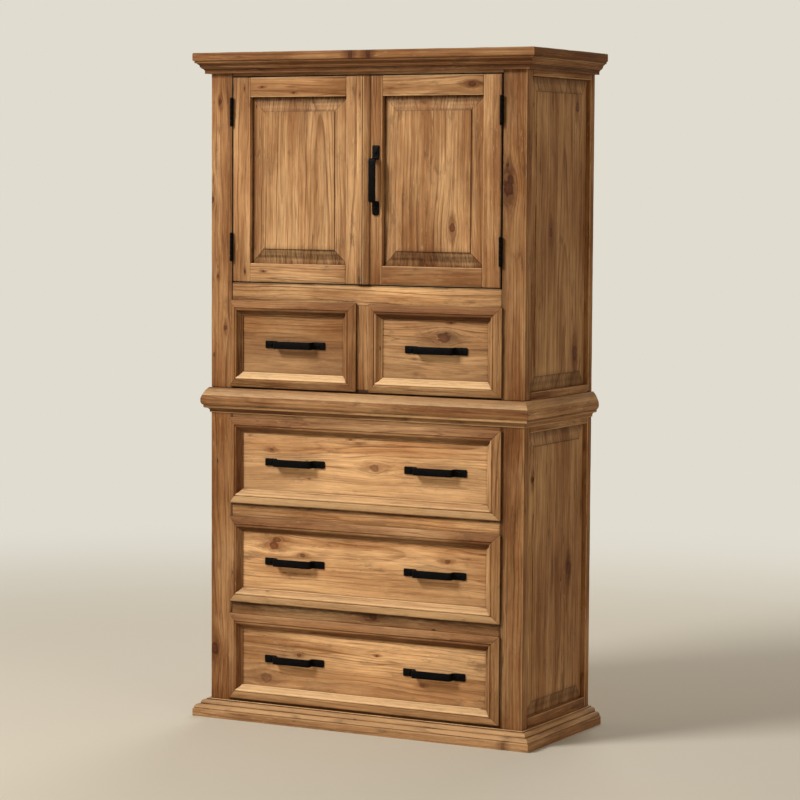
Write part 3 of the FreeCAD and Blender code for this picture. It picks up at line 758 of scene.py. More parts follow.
# For each side of the panel, the level by how far inside its field's edge a place lies. These
# are mostly painted light: shadow cast by the frame over the bevels, darkest at the top and
# foot, shadow along the field's step, and painted highlight on the right bevel and at the
# field's left edge.
PANEL_SHADES = {
    "top": [(-0.045, -1), (-0.037, -1), (-0.030, -0.85), (-0.022, -0.6), (-0.019, -0.3), (-0.008, -0.2),
            (-0.003, -0.4), (-0.0006, -0.7), (0.0006, -0.2), (0.012, -0.1), (0.025, 0)],
    "foot": [(-0.045, -1), (-0.038, -0.65), (-0.033, -0.45), (-0.029, -0.45), (-0.022, -0.85),
             (-0.018, -0.95), (-0.011, -0.7), (-0.006, -0.7), (-0.0006, -1), (0.0006, -0.5),
             (0.005, -0.2), (0.013, 0)],
    "left": [(-0.045, -1), (-0.036, -0.95), (-0.033, -0.7), (-0.027, -0.4), (-0.018, -0.2), (-0.014, 0),
             (-0.003, -0.1), (-0.0006, -0.6), (0.0006, 0.2), (0.005, 0)],
    "right": [(-0.045, -1), (-0.038, -0.6), (-0.035, -0.1), (-0.006, 0.15), (-0.003, -0.2),
              (-0.0006, -0.9), (0.0006, -0.1), (0.005, 0)],
}


def panel_glaze_and_painted_light(half_u, half_v, strength, banding):
    """The panel's painted light and glaze at a place, from the side of it that the place is nearest.

    strength weakens all but the dark line at the field's edge, and banding stripes the ends."""
    def rub(u, v, w):
        from_end, from_side = half_u - abs(u), half_v - abs(v)
        inside = np.minimum(from_end, from_side)
        level = {side: np.interp(inside, *zip(*stops)) for side, stops in PANEL_SHADES.items()}
        at_end = from_end < from_side
        bands = banding * np.sin(u * 560 + 1.6 * np.sin(v * 21)) * (at_end & (inside < -0.0004))
        found = np.where(at_end, np.where(u > 0, level["top"], level["foot"]) + bands,
                         np.where(v < 0, level["left"], level["right"]))
        # A painted dark line where two bevels meet at a mitre.
        mitre = (inside < 0) & (abs(from_end - from_side) < 0.001)
        behind = w < FIELD_RECESS - TONGUE - TONGUE_DEPTH / 2
        line = (inside < 0.0004) & (inside > -0.0012)
        found = found * np.where(line, 1.0, strength) - 0.5 * mitre
        return np.where(behind, np.interp(inside, (-0.045, -BEVEL + 0.004), (-0.8, 0.0)), found)
    return rub


# %% The raised panel
# The insets that make the bevel, from the frame inwards, and those inside the field's edge.
# They are narrow where the glaze changes fast.
BEVEL_OUTER, BEVEL_INNER, BEVEL_LINE = (0.003, 0.004), 0.005, 0.0005
FIELD_INSETS = (0.0012, 0.004, 0.008, 0.013)
MITRE_HALF = 0.0016


def raised_panel(piece, u0, u1, v0, v1, outward, face_level, tone, strength=1.0, banding=0.12):
    """A panel with its grain up, seen from outward (an axis and a sign)."""
    axis, sign = outward
    up, across, normal = AXES["z"], AXES["y" if axis == "x" else "x"], AXES[axis] * sign

    def corner(u, v, depth):
        return across * u + up * v + normal * (face_level - depth)

    a, b = corner(u0, v0, TONGUE), corner(u1, v1, TONGUE + TONGUE_DEPTH)
    piece.new_mesh()
    bpy.ops.mesh.primitive_cube_add(size=1, location=(a + b) / 2, scale=[abs(c) for c in b - a])
    half_u, half_v = (v1 - v0) / 2 - BEVEL, (u1 - u0) / 2 - BEVEL
    middle = corner((u0 + u1) / 2, (v0 + v1) / 2, FIELD_RECESS)
    piece.note(middle, [up, across, normal], (EVERYTHING,) * 3, tone,
               panel_glaze_and_painted_light(half_u, half_v, strength, banding))
    pick(piece.obj, "faces", lambda f: f.normal.dot(normal) > 0.99)
    slope = (TONGUE - FIELD_RECESS - FIELD_STEP) / BEVEL
    wide = (BEVEL - sum(BEVEL_OUTER) - BEVEL_INNER - BEVEL_LINE) / 3
    for width in (*BEVEL_OUTER, wide, wide, wide, BEVEL_INNER, BEVEL_LINE):
        bpy.ops.mesh.inset(thickness=width, depth=slope * width)
    extrude(normal * FIELD_STEP)
    for width in FIELD_INSETS:
        bpy.ops.mesh.inset(thickness=width, depth=0)
    for turn_u, turn_v in ((1, 1), (1, -1)):
        across_mitre = up * turn_u - across * turn_v
        for end in (-1, 1):
            field_corner = middle + end * (up * half_u * turn_u + across * half_v * turn_v)
            for off in (-MITRE_HALF, MITRE_HALF):
                slice_all(field_corner + across_mitre * off, across_mitre)
    bpy.ops.mesh.select_all(action="SELECT")
    bpy.ops.mesh.subdivide(number_cuts=3)
    piece.ease(0.0007, segments=2, sharp=30)


# %% Side frames and their panels
# Each storey's lower and upper end, and the heights of its bottom and top rails.
SIDE_FRAMES = {
    "lower": (LOWER_FLOOR, WAIST_LOW, 0.052, 0.037),
    "upper": (WAIST_HIGH, CASE_HIGH, 0.020, 0.048),
}
for word, side in (("left", -1), ("right", 1)):
    x0, x1 = sorted((side * SIDE_INNER, side * HALF))
    for storey, (low, high, foot, top) in SIDE_FRAMES.items():
        name = f"{storey}_{word}_side_frame"
        side_frame = Piece(name)
        board(side_frame, (x0, STILE_FRONT, low), (x1, BACK, high), "z", "x", tone=0.9)
        for z0, z1 in ((low, low + foot), (high - top, high)):
            board(side_frame, (x0, RAILS_BACK, z0), (x1, STILE_FRONT, z1), "y", "x", tone=0.5)
        finish_wood(side_frame, "carcass")
        name = f"{storey}_{word}_side_panel"
        side_panel = Piece(name)
        raised_panel(side_panel, RAILS_BACK, STILE_FRONT, low + foot, high - top, ("x", side), HALF,
                     tone=0.35, strength=0.75, banding=0.0)
        finish_wood(side_panel, "carcass", wear=0.0006)

# %% [markdown]
# ## Mouldings
#
# A moulding is one outline drawn out along its length, so a filled circle with as many
# corners as the outline has is moved onto the outline, extruded, and cut at its mitres with
# bisect. Arcs in an outline are given by their middle and end.

# %% Outlines and arcs
def outline(rows, width, height):
    """An outline's points from rows: (a, b), or (middle a, middle b, end a, end b) for an arc."""
    points = [(rows[0][0] * width, rows[0][1] * height)]
    for row in rows[1:]:
        end = (row[-2] * width, row[-1] * height)
        if len(row) == 4:
            points += arc(points[-1], (row[0] * width, row[1] * height), end)
        points.append(end)
    return points


def arc(start, middle, end, steps=6):
    """The points of a circular arc, without its ends."""
    (ax, ay), (bx, by), (cx, cy) = start, middle, end
    d = 2 * (ax * (by - cy) + bx * (cy - ay) + cx * (ay - by))
    ux = ((ax**2 + ay**2) * (by - cy) + (bx**2 + by**2) * (cy - ay) + (cx**2 + cy**2) * (ay - by)) / d
    uy = ((ax**2 + ay**2) * (cx - bx) + (bx**2 + by**2) * (ax - cx) + (cx**2 + cy**2) * (bx - ax)) / d
    radius = math.hypot(ax - ux, ay - uy)
    first, mid, last = [math.atan2(y - uy, x - ux) for x, y in (start, middle, end)]
    turn = (last - first) % math.tau
    if (mid - first) % math.tau > turn:
        turn -= math.tau
    angles = [first + turn * i / steps for i in range(1, steps)]
    return [(ux + radius * math.cos(angle), uy + radius * math.sin(angle)) for angle in angles]


# %% [markdown]
# Hands and dusters rub a moulding's crests pale, and the dark glaze stays in its quirks. How
# sharply an outline turns at a point tells which of the two it is. Each sharp corner gets a
# neighbour on both sides, so that the rubbing keeps close to it. Mitres are glazed too.

# %% Strips of moulding
NEAR_CREST, NEAR_QUIRK = 0.0013, 0.0024
MITRE_LEVEL, END_GRAIN_LEVEL = -0.9, -0.2
MITRE_OVERRUN = 0.08


def handled(points, seated):
    """Outline points with a level: up to 1 on crests, down to -1 in quirks and where seated."""
    pairs = zip(points, points[1:] + points[:1], strict=True)
    area = sum(p[0] * q[1] - p[1] * q[0] for p, q in pairs)
    found = []
    for i, point in enumerate(points):
        here, before, after = [Vector(points[j % len(points)]) for j in (i, i - 1, i + 1)]
        turn = math.degrees((after - here).angle_signed(here - before)) * math.copysign(1, area)
        level = max(-1.0, min(0.85, turn / 75)) if not seated(*point) else -1.0
        flank, share = (NEAR_CREST, 0.12) if level > 0 else (NEAR_QUIRK, 0.35)
        rows = [(*point, level)]
        for other, at in ((before, 0), (after, 2)):
            if abs(turn) > 20 and (other - here).length > 2.2 * flank:
                rows.insert(at, (*(here + (other - here).normalized() * flank), level * share))
        found += rows
    return found


def strip_wear_and_painted_light(points, cuts, middle, axes, half_length, worn, pale):
    """The level at any place of a strip: that of the nearest place on its outline."""
    start = np.array([(a, b) for a, b, _ in points])
    levels = np.array([r * worn + pale if r > -0.3 else r for _, _, r in points])
    run = np.roll(start, -1, axis=0) - start
    climb = np.roll(levels, -1) - levels
    middle = np.array(middle)
    axes = np.array([list(a) for a in axes])

    def rub(u, a, b):
        rel = np.stack((a, b), 1)[:, None] - start
        share = np.clip((rel * run).sum(2) / (run * run).sum(1), 0, 1)
        far = np.linalg.norm(rel - run * share[:, :, None], axis=2)
        best = far.argmin(1)
        level = levels[best] + climb[best] * share[np.arange(len(u)), best]
        place = middle + np.stack((u, a, b), 1) @ axes
        for point, normal in cuts:
            off = (place - point) @ normal / np.linalg.norm(normal)
            level[abs(off) < 0.0004] = MITRE_LEVEL
        return np.where(abs(u) > half_length - 0.0001, END_GRAIN_LEVEL, level)
    return rub


def strip(piece, points, origin, axes, length, cuts=(), tone=0.0, worn=1.0, pale=0.0):
    """A moulding strip, trimmed by planes (point, normal).

    axes are the directions along the strip, out from what carries it and up its outline.
    worn strengthens the crests' rubbing and pale makes all but the quirks paler, or darker
    below 0. On strips that face up or lie in shade, these also paint highlight and shade."""
    along, out, up = [Vector(a) for a in axes]
    origin = Vector(origin)
    piece.new_mesh()
    bpy.ops.mesh.primitive_circle_add(vertices=len(points), fill_type="NGON")
    bm = bmesh.from_edit_mesh(piece.obj.data)
    for vertex, (a, b, _) in zip(bm.verts, points, strict=True):
        vertex.co = origin + out * a + up * b
    bmesh.update_edit_mesh(piece.obj.data)
    middle = origin + along * length / 2
    rub = strip_wear_and_painted_light(points, cuts, middle, (along, out, up), length / 2, worn, pale)
    piece.note(middle, (along, out, up), (length / 2, EVERYTHING, EVERYTHING), tone, rub)
    extrude(along * length)
    piece.divide_along(along, length, 0.02)
    for point, normal in cuts:
        slice_all(point, normal, use_fill=True, clear_outer=True)
    bpy.ops.mesh.select_all(action="SELECT")
    bpy.ops.mesh.normals_make_consistent(inside=False)
    piece.ease(0.0006, segments=1, sharp=28)


def round_the_case(piece, points, level, tones, worn=1.0, pales=(0.0, 0.0)):
    """The front strip and two returns of a moulding, mitred at the front corners.

    tones and pales are those of the front and of the returns."""
    up = (0, 0, 1)
    reach = HALF + MITRE_OVERRUN
    mitres = [((side * HALF, FRONT, 0), (side, 1, 0)) for side in (-1, 1)]
    strip(piece, points, (-reach, FRONT, level), ((1, 0, 0), (0, -1, 0), up), 2 * reach, mitres, tones[0],
          worn, pales[0])
    for side in (-1, 1):
        mitre = ((side * HALF, FRONT, 0), (-side, -1, 0))
        strip(piece, points, (side * HALF, FRONT - MITRE_OVERRUN, level), ((0, 1, 0), (side, 0, 0), up),
              BACK - FRONT + MITRE_OVERRUN, [mitre], tones[1], worn * 0.6, pales[1])


# %% [markdown]
# The crown, the waist and the plinth each have a board with an edge of its own and a
# moulding under or over it. Outlines are in shares of the moulding's reach and height.

# %% Crown, waist and plinth
EDGE_STRIP, FLAT_THICK, FLAT_REACH, STAVES = 0.04, 0.022, 0.037, 4
WAIST_THICK, WAIST_REACH = 0.047, 0.0215
CROWN = [(0, 0), (0.38, 0), (0.38, 0.1), (0.43, 0.32, 0.6, 0.42), (0.6, 0.5), (0.68, 0.5),
         (0.72, 0.68, 0.86, 0.78), (0.86, 0.84), (1, 0.84), (1, 1), (0, 1)]
WAIST = [(0, 0), (0.18, 0), (0.18, 0.12), (0.26, 0.4, 0.62, 0.58), (0.8, 0.58), (1, 0.66), (1, 1),
         (0, 1)]
ARRIS = 0.56
WAIST_EDGE = [(0, 0), (0.79, 0), (0.95, 0.1, 1, 0.25), (0.97, 0.4, 0.84, ARRIS),
              (0.62, 0.76, 0.22, 1), (0, 1)]
PLINTH = [(0, 0), (1, 0), (1, 0.1), (0.92, 0.3, 0.66, 0.42), (0.6, 0.42), (0.6, 0.52),
          (0.5, 0.78, 0.3, 0.86), (0.24, 0.86), (0.24, 1), (0, 1)]


def flat_edge(low_round, top_round):
    """The outline of a flat board's edge, rounded below and above."""
    low, top = [size * (1 - math.sqrt(0.5)) for size in (low_round, top_round)]
    points = outline([(-EDGE_STRIP, 0), (FLAT_REACH - low_round, 0),
                      (FLAT_REACH - low, low, FLAT_REACH, low_round),
                      (FLAT_REACH, FLAT_THICK - top_round),
                      (FLAT_REACH - top, FLAT_THICK - top, FLAT_REACH - top_round, FLAT_THICK),
                      (-EDGE_STRIP, FLAT_THICK)], 1, 1)
    return handled(points, lambda a, b: a < 0)


def waist_edge():
    """The waist board's edge, with painted highlight on its slope above the arris, a dark line
    under the arris, and painted shade where the upper case stands on it.
    """
    edge = outline(WAIST_EDGE, WAIST_REACH, WAIST_THICK)
    edge = handled([(-EDGE_STRIP, 0), *edge[1:-1], (-EDGE_STRIP, WAIST_THICK)], lambda a, b: a < 0)
    arris = ARRIS * WAIST_THICK
    # Painted highlight on the slope above the arris, which faces up.
    edge = [(a, b, 0.62 - 22 * (b - arris) if a > 0 and b > arris - 0.0001 else level)
            for a, b, level in edge]
    # Painted shade on the top just in front of the upper case's foot.
    covered = next(i for i, (a, b, _) in enumerate(edge) if a < 0 and b > arris)
    edge[covered:covered] = [(0.0028, WAIST_THICK, -0.1), (0.0010, WAIST_THICK, -1.4)]
    crest = next(i for i, (a, b, _) in enumerate(edge) if a > 0 and abs(b - arris) < 0.0001)
    below, top = Vector(edge[crest - 1][:2]), Vector(edge[crest][:2])
    hollow = top.lerp(below, 0.33) - Vector((0.0004, 0))
    edge[crest:crest] = [(*top.lerp(below, 0.65), 0.0), (*hollow, -0.6)]
    return edge


def cased_board(node, edge, low, thickness, tones, pales):
    """A board whose front and side edges are mitred strips round a glued-up middle."""
    piece = Piece(node)
    round_the_case(piece, edge, low, tones, 1.0, pales)
    y0 = FRONT + EDGE_STRIP
    width = (BACK - y0) / STAVES
    x = HALF - EDGE_STRIP
    for i in range(STAVES):
        board(piece, (-x, y0 + i * width, low), (x, y0 + (i + 1) * width, low + thickness), "x", "z",
              tones[0], eased=0.0008, spacing=0.06)
    finish_wood(piece, "carcass")


cased_board("top_board", flat_edge(0.004, 0.003), CASE_HIGH, FLAT_THICK, (0.9, 1.3), (-0.15, -0.35))
cased_board("waist_board", waist_edge(), WAIST_LOW, WAIST_THICK, (0.85, -0.2), (-0.05, 0.0))
cased_board("plinth_board", flat_edge(0.0015, 0.004), 0.0, FLAT_THICK, (0.05, 0.25), (0.0, 0.0))
# Each moulding's outline, reach, lower end, height, tones, wear and paleness. The crown's
# paleness below 0 is painted shade under the top's overhang.
for node, rows, reach, low, height, tones, worn, pale in (
        ("crown_moulding", CROWN, 0.033, CASE_HIGH - 0.033, 0.033, (0.95, 1.0), 1.0, -0.4),
        ("waist_moulding", WAIST, 0.0155, WAIST_LOW - 0.021, 0.021, (0.4, 0.2), 1.3, -0.2),
        ("plinth_moulding", PLINTH, 0.034, FLAT_THICK, 0.026, (0.4, 0.25), 1.9, 0.0)):
    moulding = Piece(node)
    hidden = 0.0 if node == "plinth_moulding" else height
    profile = handled(outline(rows, reach, height), lambda a, b: a <= 0 or b == hidden)
    if node == "crown_moulding":
        # Painted shade on the crown's lower part, under the top's overhang.
        profile = [(a, b, level - 0.5 * (b < 0.4 * height)) for a, b, level in profile]
    round_the_case(moulding, profile, low, tones, worn, (pale, 0.0))
    finish_wood(moulding, "carcass", wear=0.0009)

# %% [markdown]
# ## The doors
#
# Each door is two stiles and two rails round a raised panel. A flat bead covers the line
# where the doors meet, and each door carries half of it.

# %% Doors
DOOR_FACE, DOOR_THICK, DOOR_GAP, MEETING = -0.191, 0.022, 0.0025, 0.001
STILE, DOOR_TOP_RAIL, DOOR_FOOT_RAIL = 0.053, 0.053, 0.050
BEAD = [(0, 0), (0, 0.88), (0.06, 1), (0.45, 0.97, 0.8, 0.72), (0.95, 0.42, 1, 0.04), (1, 0)]
BEAD_WIDTH, BEAD_HEIGHT = 0.019, 0.009
door_low, door_high = DOOR_OPENING[0] + DOOR_GAP, DOOR_OPENING[1] - DOOR_GAP
# Painted shade along the doors' foot and top edges, beside the gaps and under the rail above.
foot_shade = [(door_low, -0.8), (door_low + 0.004, -0.4), (door_low + 0.011, 0)]
top_shade = [(door_high - 0.009, 0), (door_high - 0.004, -0.3), (door_high, -0.7)]


def door(name, side, stile_tones, panel_tone, bead_tone):
    """A door. stile_tones are those of its left and right stile."""
    x0, x1 = sorted((side * (OPENING_HALF - DOOR_GAP), side * MEETING))
    y0, y1 = DOOR_FACE, DOOR_FACE + DOOR_THICK
    p0, p1 = x0 + STILE, x1 - STILE
    q0, q1 = door_low + DOOR_FOOT_RAIL, door_high - DOOR_TOP_RAIL
    # Painted shadow in the gap along each door's hinge-side edge.
    if side < 0:
        shades = [(x0, -1.8), (x0 + 0.0014, -0.9), (x0 + 0.004, 0)], ()
    else:
        shades = (), [(x1 - 0.010, 0), (x1 - 0.006, -0.25), (x1 - 0.003, -0.7), (x1, -1.6)]
    door_frame = Piece(name + "_frame")
    for low_x, high_x, tone, shade in zip((x0, p1), (p0, x1), stile_tones, shades, strict=True):
        board(door_frame, (low_x, y0, door_low), (high_x, y1, door_high), "z", "y", tone, shade=shade)
    board(door_frame, (p0, y0, door_low), (p1, y1, q0), "x", "y", 0.35, shade=foot_shade)
    board(door_frame, (p0, y0, q1), (p1, y1, door_high), "x", "y", 0.25, shade=top_shade)
    finish_wood(door_frame, name)
    panel = Piece(name + "_panel")
    raised_panel(panel, p0, p1, q0, q1, ("y", -1), -DOOR_FACE, panel_tone)
    finish_wood(panel, name, wear=0.0006)
    bead = Piece(name + "_bead")
    profile = handled(outline(BEAD, BEAD_WIDTH, BEAD_HEIGHT), lambda a, b: b < 0.001)
    strip(bead, profile, (side * MEETING, DOOR_FACE, door_low), ((0, 0, 1), (side, 0, 0), (0, -1, 0)),
          door_high - door_low, tone=bead_tone)
    finish_wood(bead, name, wear=0.0006)


door("left_door", -1, (0.25, 0.15), 0.3, 0.35)
door("right_door", 1, (0.55, 0.0), 0.1, 0.75)

# %% [markdown]
# ## The drawers
#
# A drawer's front is a flat board framed by four mitred strips, and the box hangs behind it.
# One function makes all five drawers, and each still gets boards with figure of their own.

# %% The strips that frame a drawer's front
FACE, SLAB = -0.190, 0.022
LIP, STRIP_WIDTH, STRIP_HEIGHT = 0.0045, 0.040, 0.016
DRAWER_STRIP = [(0, 0), (0, 0.3), (0, 0.42), (0.25, 0.74, 0.49, 0.9), (0.52, 0.8), (0.55, 0.93),
                (0.61, 1, 0.67, 0.93), (0.75, 0.58, 0.94, 0.2), (1, 0.2), (1, 0)]
QUIRK = 0.52 * STRIP_WIDTH
# For each drawer's strips below, above, left and right: how dark its wood is, and what is
# added to its hollow and its outer slope. These are painted light: shade on the hollows that
# face down or away from the lamp and mostly on the lower strips' outer slope, and highlight,
# with some rubbing, on the hollows that face up or towards it.
FRAMES = {
    "small_left_drawer": [(0.3, 0.5, -0.4), (1.2, -0.75, 0), (0.8, -0.5, 0), (0.4, -0.1, 0)],
    "small_right_drawer": [(0.3, 0.5, -0.4), (1.2, -0.75, 0), (0.4, 0.2, 0), (0.3, 0.0, 0)],
    "high_wide_drawer": [(-0.1, 0.05, 0.15), (0.6, -0.55, 0), (1.2, -0.45, 0), (-0.2, 0.1, 0)],
    "middle_wide_drawer": [(-0.1, 0.15, 0), (0.6, -0.55, 0), (0.55, -0.25, 0), (0.2, 0.0, 0)],
    "low_wide_drawer": [(0.2, 0.4, -0.2), (0.6, -0.5, 0), (0.5, -0.25, 0), (-0.1, 0.0, 0)],
}


def strip_outline(quirk, hollow, slope, foot=None):
    """The strip's outline, with its quirk's level and what its hollow and outer slope add."""
    def seated(a, b):
        return b < 0.001 or (a < 0.001 and b < 0.005)

    found = []
    for a, b, level in handled(outline(DRAWER_STRIP, STRIP_WIDTH, STRIP_HEIGHT), seated):
        near = abs(a - QUIRK)
        if near < 0.0016:
            level = quirk if near < 0.0008 else quirk * 0.4
        # foot paints shade along the lower strip's outer edge, which faces down.
        elif foot is not None and a < 0.0014 and b > 0.005:
            level = foot
        else:
            level = max(-1.0, level + (hollow if a > QUIRK else slope))
        found.append((a, b, level))
    return found


def framed_front(piece, name, x0, x1, z0, z1):
    """Four strips whose outer edges are x0, x1, z0 and z1."""
    below, above, left, right = FRAMES[name]
    proud = (0, -1, 0)
    # The lower strips face up, so their crests and slopes get more painted highlight. The quirks are
    # painted darker on the upper and left strips, which face away from the lamp.
    for z, inward, (tone, hollow, slope), quirk, foot, worn, pale in (
            (z0, 1, below, -0.5, -0.45, 1.2, 0.35), (z1, -1, above, -1.0, None, 0.5, 0.0)):
        cuts = [((x0, 0, z), (-1, 0, inward)), ((x1, 0, z), (1, 0, inward))]
        strip(piece, strip_outline(quirk, hollow, slope, foot), (x0, FACE, z),
              ((1, 0, 0), (0, 0, inward), proud), x1 - x0, cuts, tone, worn, pale)
    for x, inward, (tone, hollow, slope), quirk in ((x0, 1, left, -1.0), (x1, -1, right, -0.3)):
        cuts = [((x, 0, z0), (inward, 0, -1)), ((x, 0, z1), (inward, 0, 1))]
        strip(piece, strip_outline(quirk, hollow, slope), (x, FACE, z0),
              ((0, 0, 1), (inward, 0, 0), proud), z1 - z0, cuts, tone, 0.7)


# %% Drawers
FRONT_GAP, SIDE_GAP, FOOT_GAP, BACK_GAP, BOX_LOWER = 0.002, 0.002, 0.0009, 0.020, 0.030
BOX_SIDE, BOTTOM_LOW, BOTTOM_HIGH = 0.012, 0.008, 0.016


def drawer(name, x0, x1, z0, z1, tone, paler_below_shaded_above):
    """A drawer for an opening. The last argument makes its front paler towards the bottom and
    darker towards the top, with painted shade under its frame.
    """
    front = Piece(name + "_front")
    half_height = (z1 - z0) / 2
    # Paler towards the bottom, painted shade towards the top under the frame.
    board(front, (x0 + FRONT_GAP, FACE, z0 + FRONT_GAP), (x1 - FRONT_GAP, FACE + SLAB, z1 - FRONT_GAP),
          "x", "y", tone, framed=STRIP_WIDTH - LIP - FRONT_GAP,
          rub=lambda u, v, w: paler_below_shaded_above * (0.4 - v / half_height))
    finish_wood(front, name)
    frame_strips = Piece(name + "_moulding")
    framed_front(frame_strips, name, x0 - LIP, x1 + LIP, z0 - LIP, z1 + LIP)
    finish_wood(frame_strips, name, wear=0.0009)
    box = Piece(name + "_box")
    y0, y1 = FACE + SLAB, BOARDS_FRONT - BACK_GAP
    low, high = z0 + FOOT_GAP, z1 - BOX_LOWER
    left, right = x0 + SIDE_GAP, x1 - SIDE_GAP
    in_left, in_right = left + BOX_SIDE, right - BOX_SIDE
    for a, b in ((left, in_left), (in_right, right)):
        board(box, (a, y0, low), (b, y1, high), "y", "x", eased=0.0015)
    board(box, (in_left, y1 - BOX_SIDE, low + BOTTOM_HIGH), (in_right, y1, high), "x", "y", eased=0.0015)
    board(box, (in_left, y0, low + BOTTOM_LOW), (in_right, y1, low + BOTTOM_HIGH), "x", "z", eased=0.001)
    finish_wood(box, name, "inside_pine", wear=0.0004)


drawer("small_left_drawer", -OPENING_HALF, -DIVIDER_HALF, *SMALL_OPENING, 0.6, 0.25)
drawer("small_right_drawer", DIVIDER_HALF, OPENING_HALF, *SMALL_OPENING, 0.3, 0.25)
for word, tone, paler_below_shaded_above in (("low", -0.35, 0.15), ("middle", -0.6, 0.2), ("high", -0.65, 0.3)):
    drawer(word + "_wide_drawer", -OPENING_HALF, OPENING_HALF, *WIDE_OPENINGS[word], tone, paler_below_shaded_above)

# %% [markdown]
# ## Inside and behind
#
# The back is five upright boards in each case, and the cupboard has a floor and a shelf of
# glued boards. They are pine too, but nobody stained them. The runners and cleats are
# straight as packed and hardly seen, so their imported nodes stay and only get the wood.

# %% Back boards, floor and shelf
BACK_BOARDS, BACK_JOINT_HALF, SHELF_BOARDS = 5, 0.0005, 3
CUPBOARD_FLOOR, SHELF, SHELF_FRONT = (1.168, 1.186), (1.446, 1.464), -0.125
backs = Piece("back_boards")
width = 2 * SIDE_INNER / BACK_BOARDS
for low, high in ((WAIST_HIGH, CASE_HIGH), (LOWER_FLOOR, WAIST_LOW)):
    for i in range(BACK_BOARDS):
        x0 = -SIDE_INNER + i * width + BACK_JOINT_HALF
        x1 = -SIDE_INNER + (i + 1) * width - BACK_JOINT_HALF
        board(backs, (x0, BOARDS_FRONT, low), (x1, BOARDS_BACK, high), "z", "y",
              tone=rng.uniform(0.0, 0.2), eased=0.003, spacing=0.06)
finish_wood(backs, "carcass", "inside_pine")
for node, y0, (low, high) in (("cupboard_floor", RAILS_BACK, CUPBOARD_FLOOR),
                              ("cupboard_shelf", SHELF_FRONT, SHELF)):
    shelf = Piece(node)
    width = (BOARDS_FRONT - y0) / SHELF_BOARDS
    for i in range(SHELF_BOARDS):
        board(shelf, (-SIDE_INNER, y0 + i * width, low), (SIDE_INNER, y0 + (i + 1) * width, high),
              "x", "z", eased=0.001, spacing=0.06)
    finish_wood(shelf, "carcass", "inside_pine")
for node in ("drawer_runners", "shelf_cleats"):
    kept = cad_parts[node]
    kept.data.materials.clear()
    kept.data.materials.append(runner_pine)
    print(node, "keeps its packed shape")

# %% [markdown]
# ## Iron pulls
#
# A pull is a strap of iron, bent up at both feet. It starts as a narrow plane whose end edge
# is extruded along the bends. The bends are rounded with a bevel, the foot's corners too,
# and Solidify gives the strap its thickness.

# %% One strap pull, lying on the ground and pointing up
STRAP_HALF, STRAP_THICK, PULL_HALF, FOOT, STAND_OFF = 0.010, 0.004, 0.0915, 0.038, 0.025
BEND_RADIUS, DRAWER_FOOT_RADIUS, DOOR_FOOT_RADIUS, OTHER_FOOT_RADIUS = 0.005, 0.003, 0.0075, 0.002
SCREW_RADIUS, SCREW_FLATNESS, SLOT_HALF, SLOT_DEPTH = 0.004, 0.4, 0.0005, 0.0007


def screw_mesh():
    """A round-headed screw with its slot, standing on the ground."""
    bpy.ops.object.select_all(action="DESELECT")
    bpy.ops.mesh.primitive_uv_sphere_add(segments=20, ring_count=12, radius=SCREW_RADIUS)
    obj = bpy.context.object
    bpy.ops.object.mode_set(mode="EDIT")
    slice_all((0, 0, 0), (0, 0, -1), use_fill=True, clear_outer=True)
    for x in (-SLOT_HALF, SLOT_HALF):
        slice_all((x, 0, 0), (1, 0, 0))
    bpy.ops.mesh.select_all(action="SELECT")
    bpy.ops.transform.resize(value=(1, 1, SCREW_FLATNESS))

    def in_slot(face):
        middle = face.calc_center_median()
        return abs(middle.x) < SLOT_HALF and middle.z > 0.0004

    pick(obj, "faces", in_slot)
    extrude((0, 0, -SLOT_DEPTH))
    bpy.ops.object.mode_set(mode="OBJECT")
    return obj


def pull_mesh(end_radius):
    """A strap pull along x. end_radius rounds the corners of the foot at its + end."""
    bpy.ops.object.select_all(action="DESELECT")
    level = STRAP_THICK / 2
    bpy.ops.mesh.primitive_plane_add(size=1, location=(FOOT / 2 - PULL_HALF, 0, level))
    obj = bpy.context.object
    obj.scale = (FOOT - STRAP_THICK / 2, 2 * STRAP_HALF, 1)
    obj.location.x -= STRAP_THICK / 4
    bpy.ops.object.transform_apply(location=True, rotation=True, scale=True)
    bpy.ops.object.mode_set(mode="EDIT")
    leg = PULL_HALF - FOOT + STRAP_THICK / 2
    pick(obj, "edges", lambda e: all(v.co.x > -leg - 0.001 for v in e.verts))
    rise = STAND_OFF - STRAP_THICK
    for move in ((0, 0, rise), (2 * leg, 0, 0), (0, 0, -rise), (FOOT - STRAP_THICK / 2, 0, 0)):
        extrude(move)
    for radius, sign in ((end_radius, 1), (OTHER_FOOT_RADIUS, -1)):
        pick(obj, "verts", lambda v: abs(v.co.x * sign - PULL_HALF) < 0.0005)
        bpy.ops.mesh.bevel(offset=radius, segments=6, affect="VERTICES")
    pick(obj, "edges", lambda e: len(e.link_faces) == 2 and e.calc_face_angle(0.0) > 1.0)
    bpy.ops.mesh.bevel(offset=BEND_RADIUS, segments=5, affect="EDGES")
    bpy.ops.mesh.select_all(action="SELECT")
    bpy.ops.mesh.normals_make_consistent(inside=False)
    bpy.ops.object.mode_set(mode="OBJECT")
    apply_modifier(obj, "SOLIDIFY", thickness=STRAP_THICK, offset=0.0, use_even_offset=True)
    apply_modifier(obj, "BEVEL", width=0.0007, segments=2, limit_method="ANGLE")
    return obj


def join_copies(name, parts):
    """One object from copies of patterns, each (pattern, matrix) with its own mesh."""
    made = []
    for pattern, matrix in parts:
        copy = pattern.copy()
        copy.data = pattern.data.copy()
        bpy.context.collection.objects.link(copy)
        copy.data.transform(matrix)
        made.append(copy)
    make_active(made)
    if len(made) > 1:
        bpy.ops.object.join()
    joined = bpy.context.object
    joined.name = joined.data.name = name
    return joined


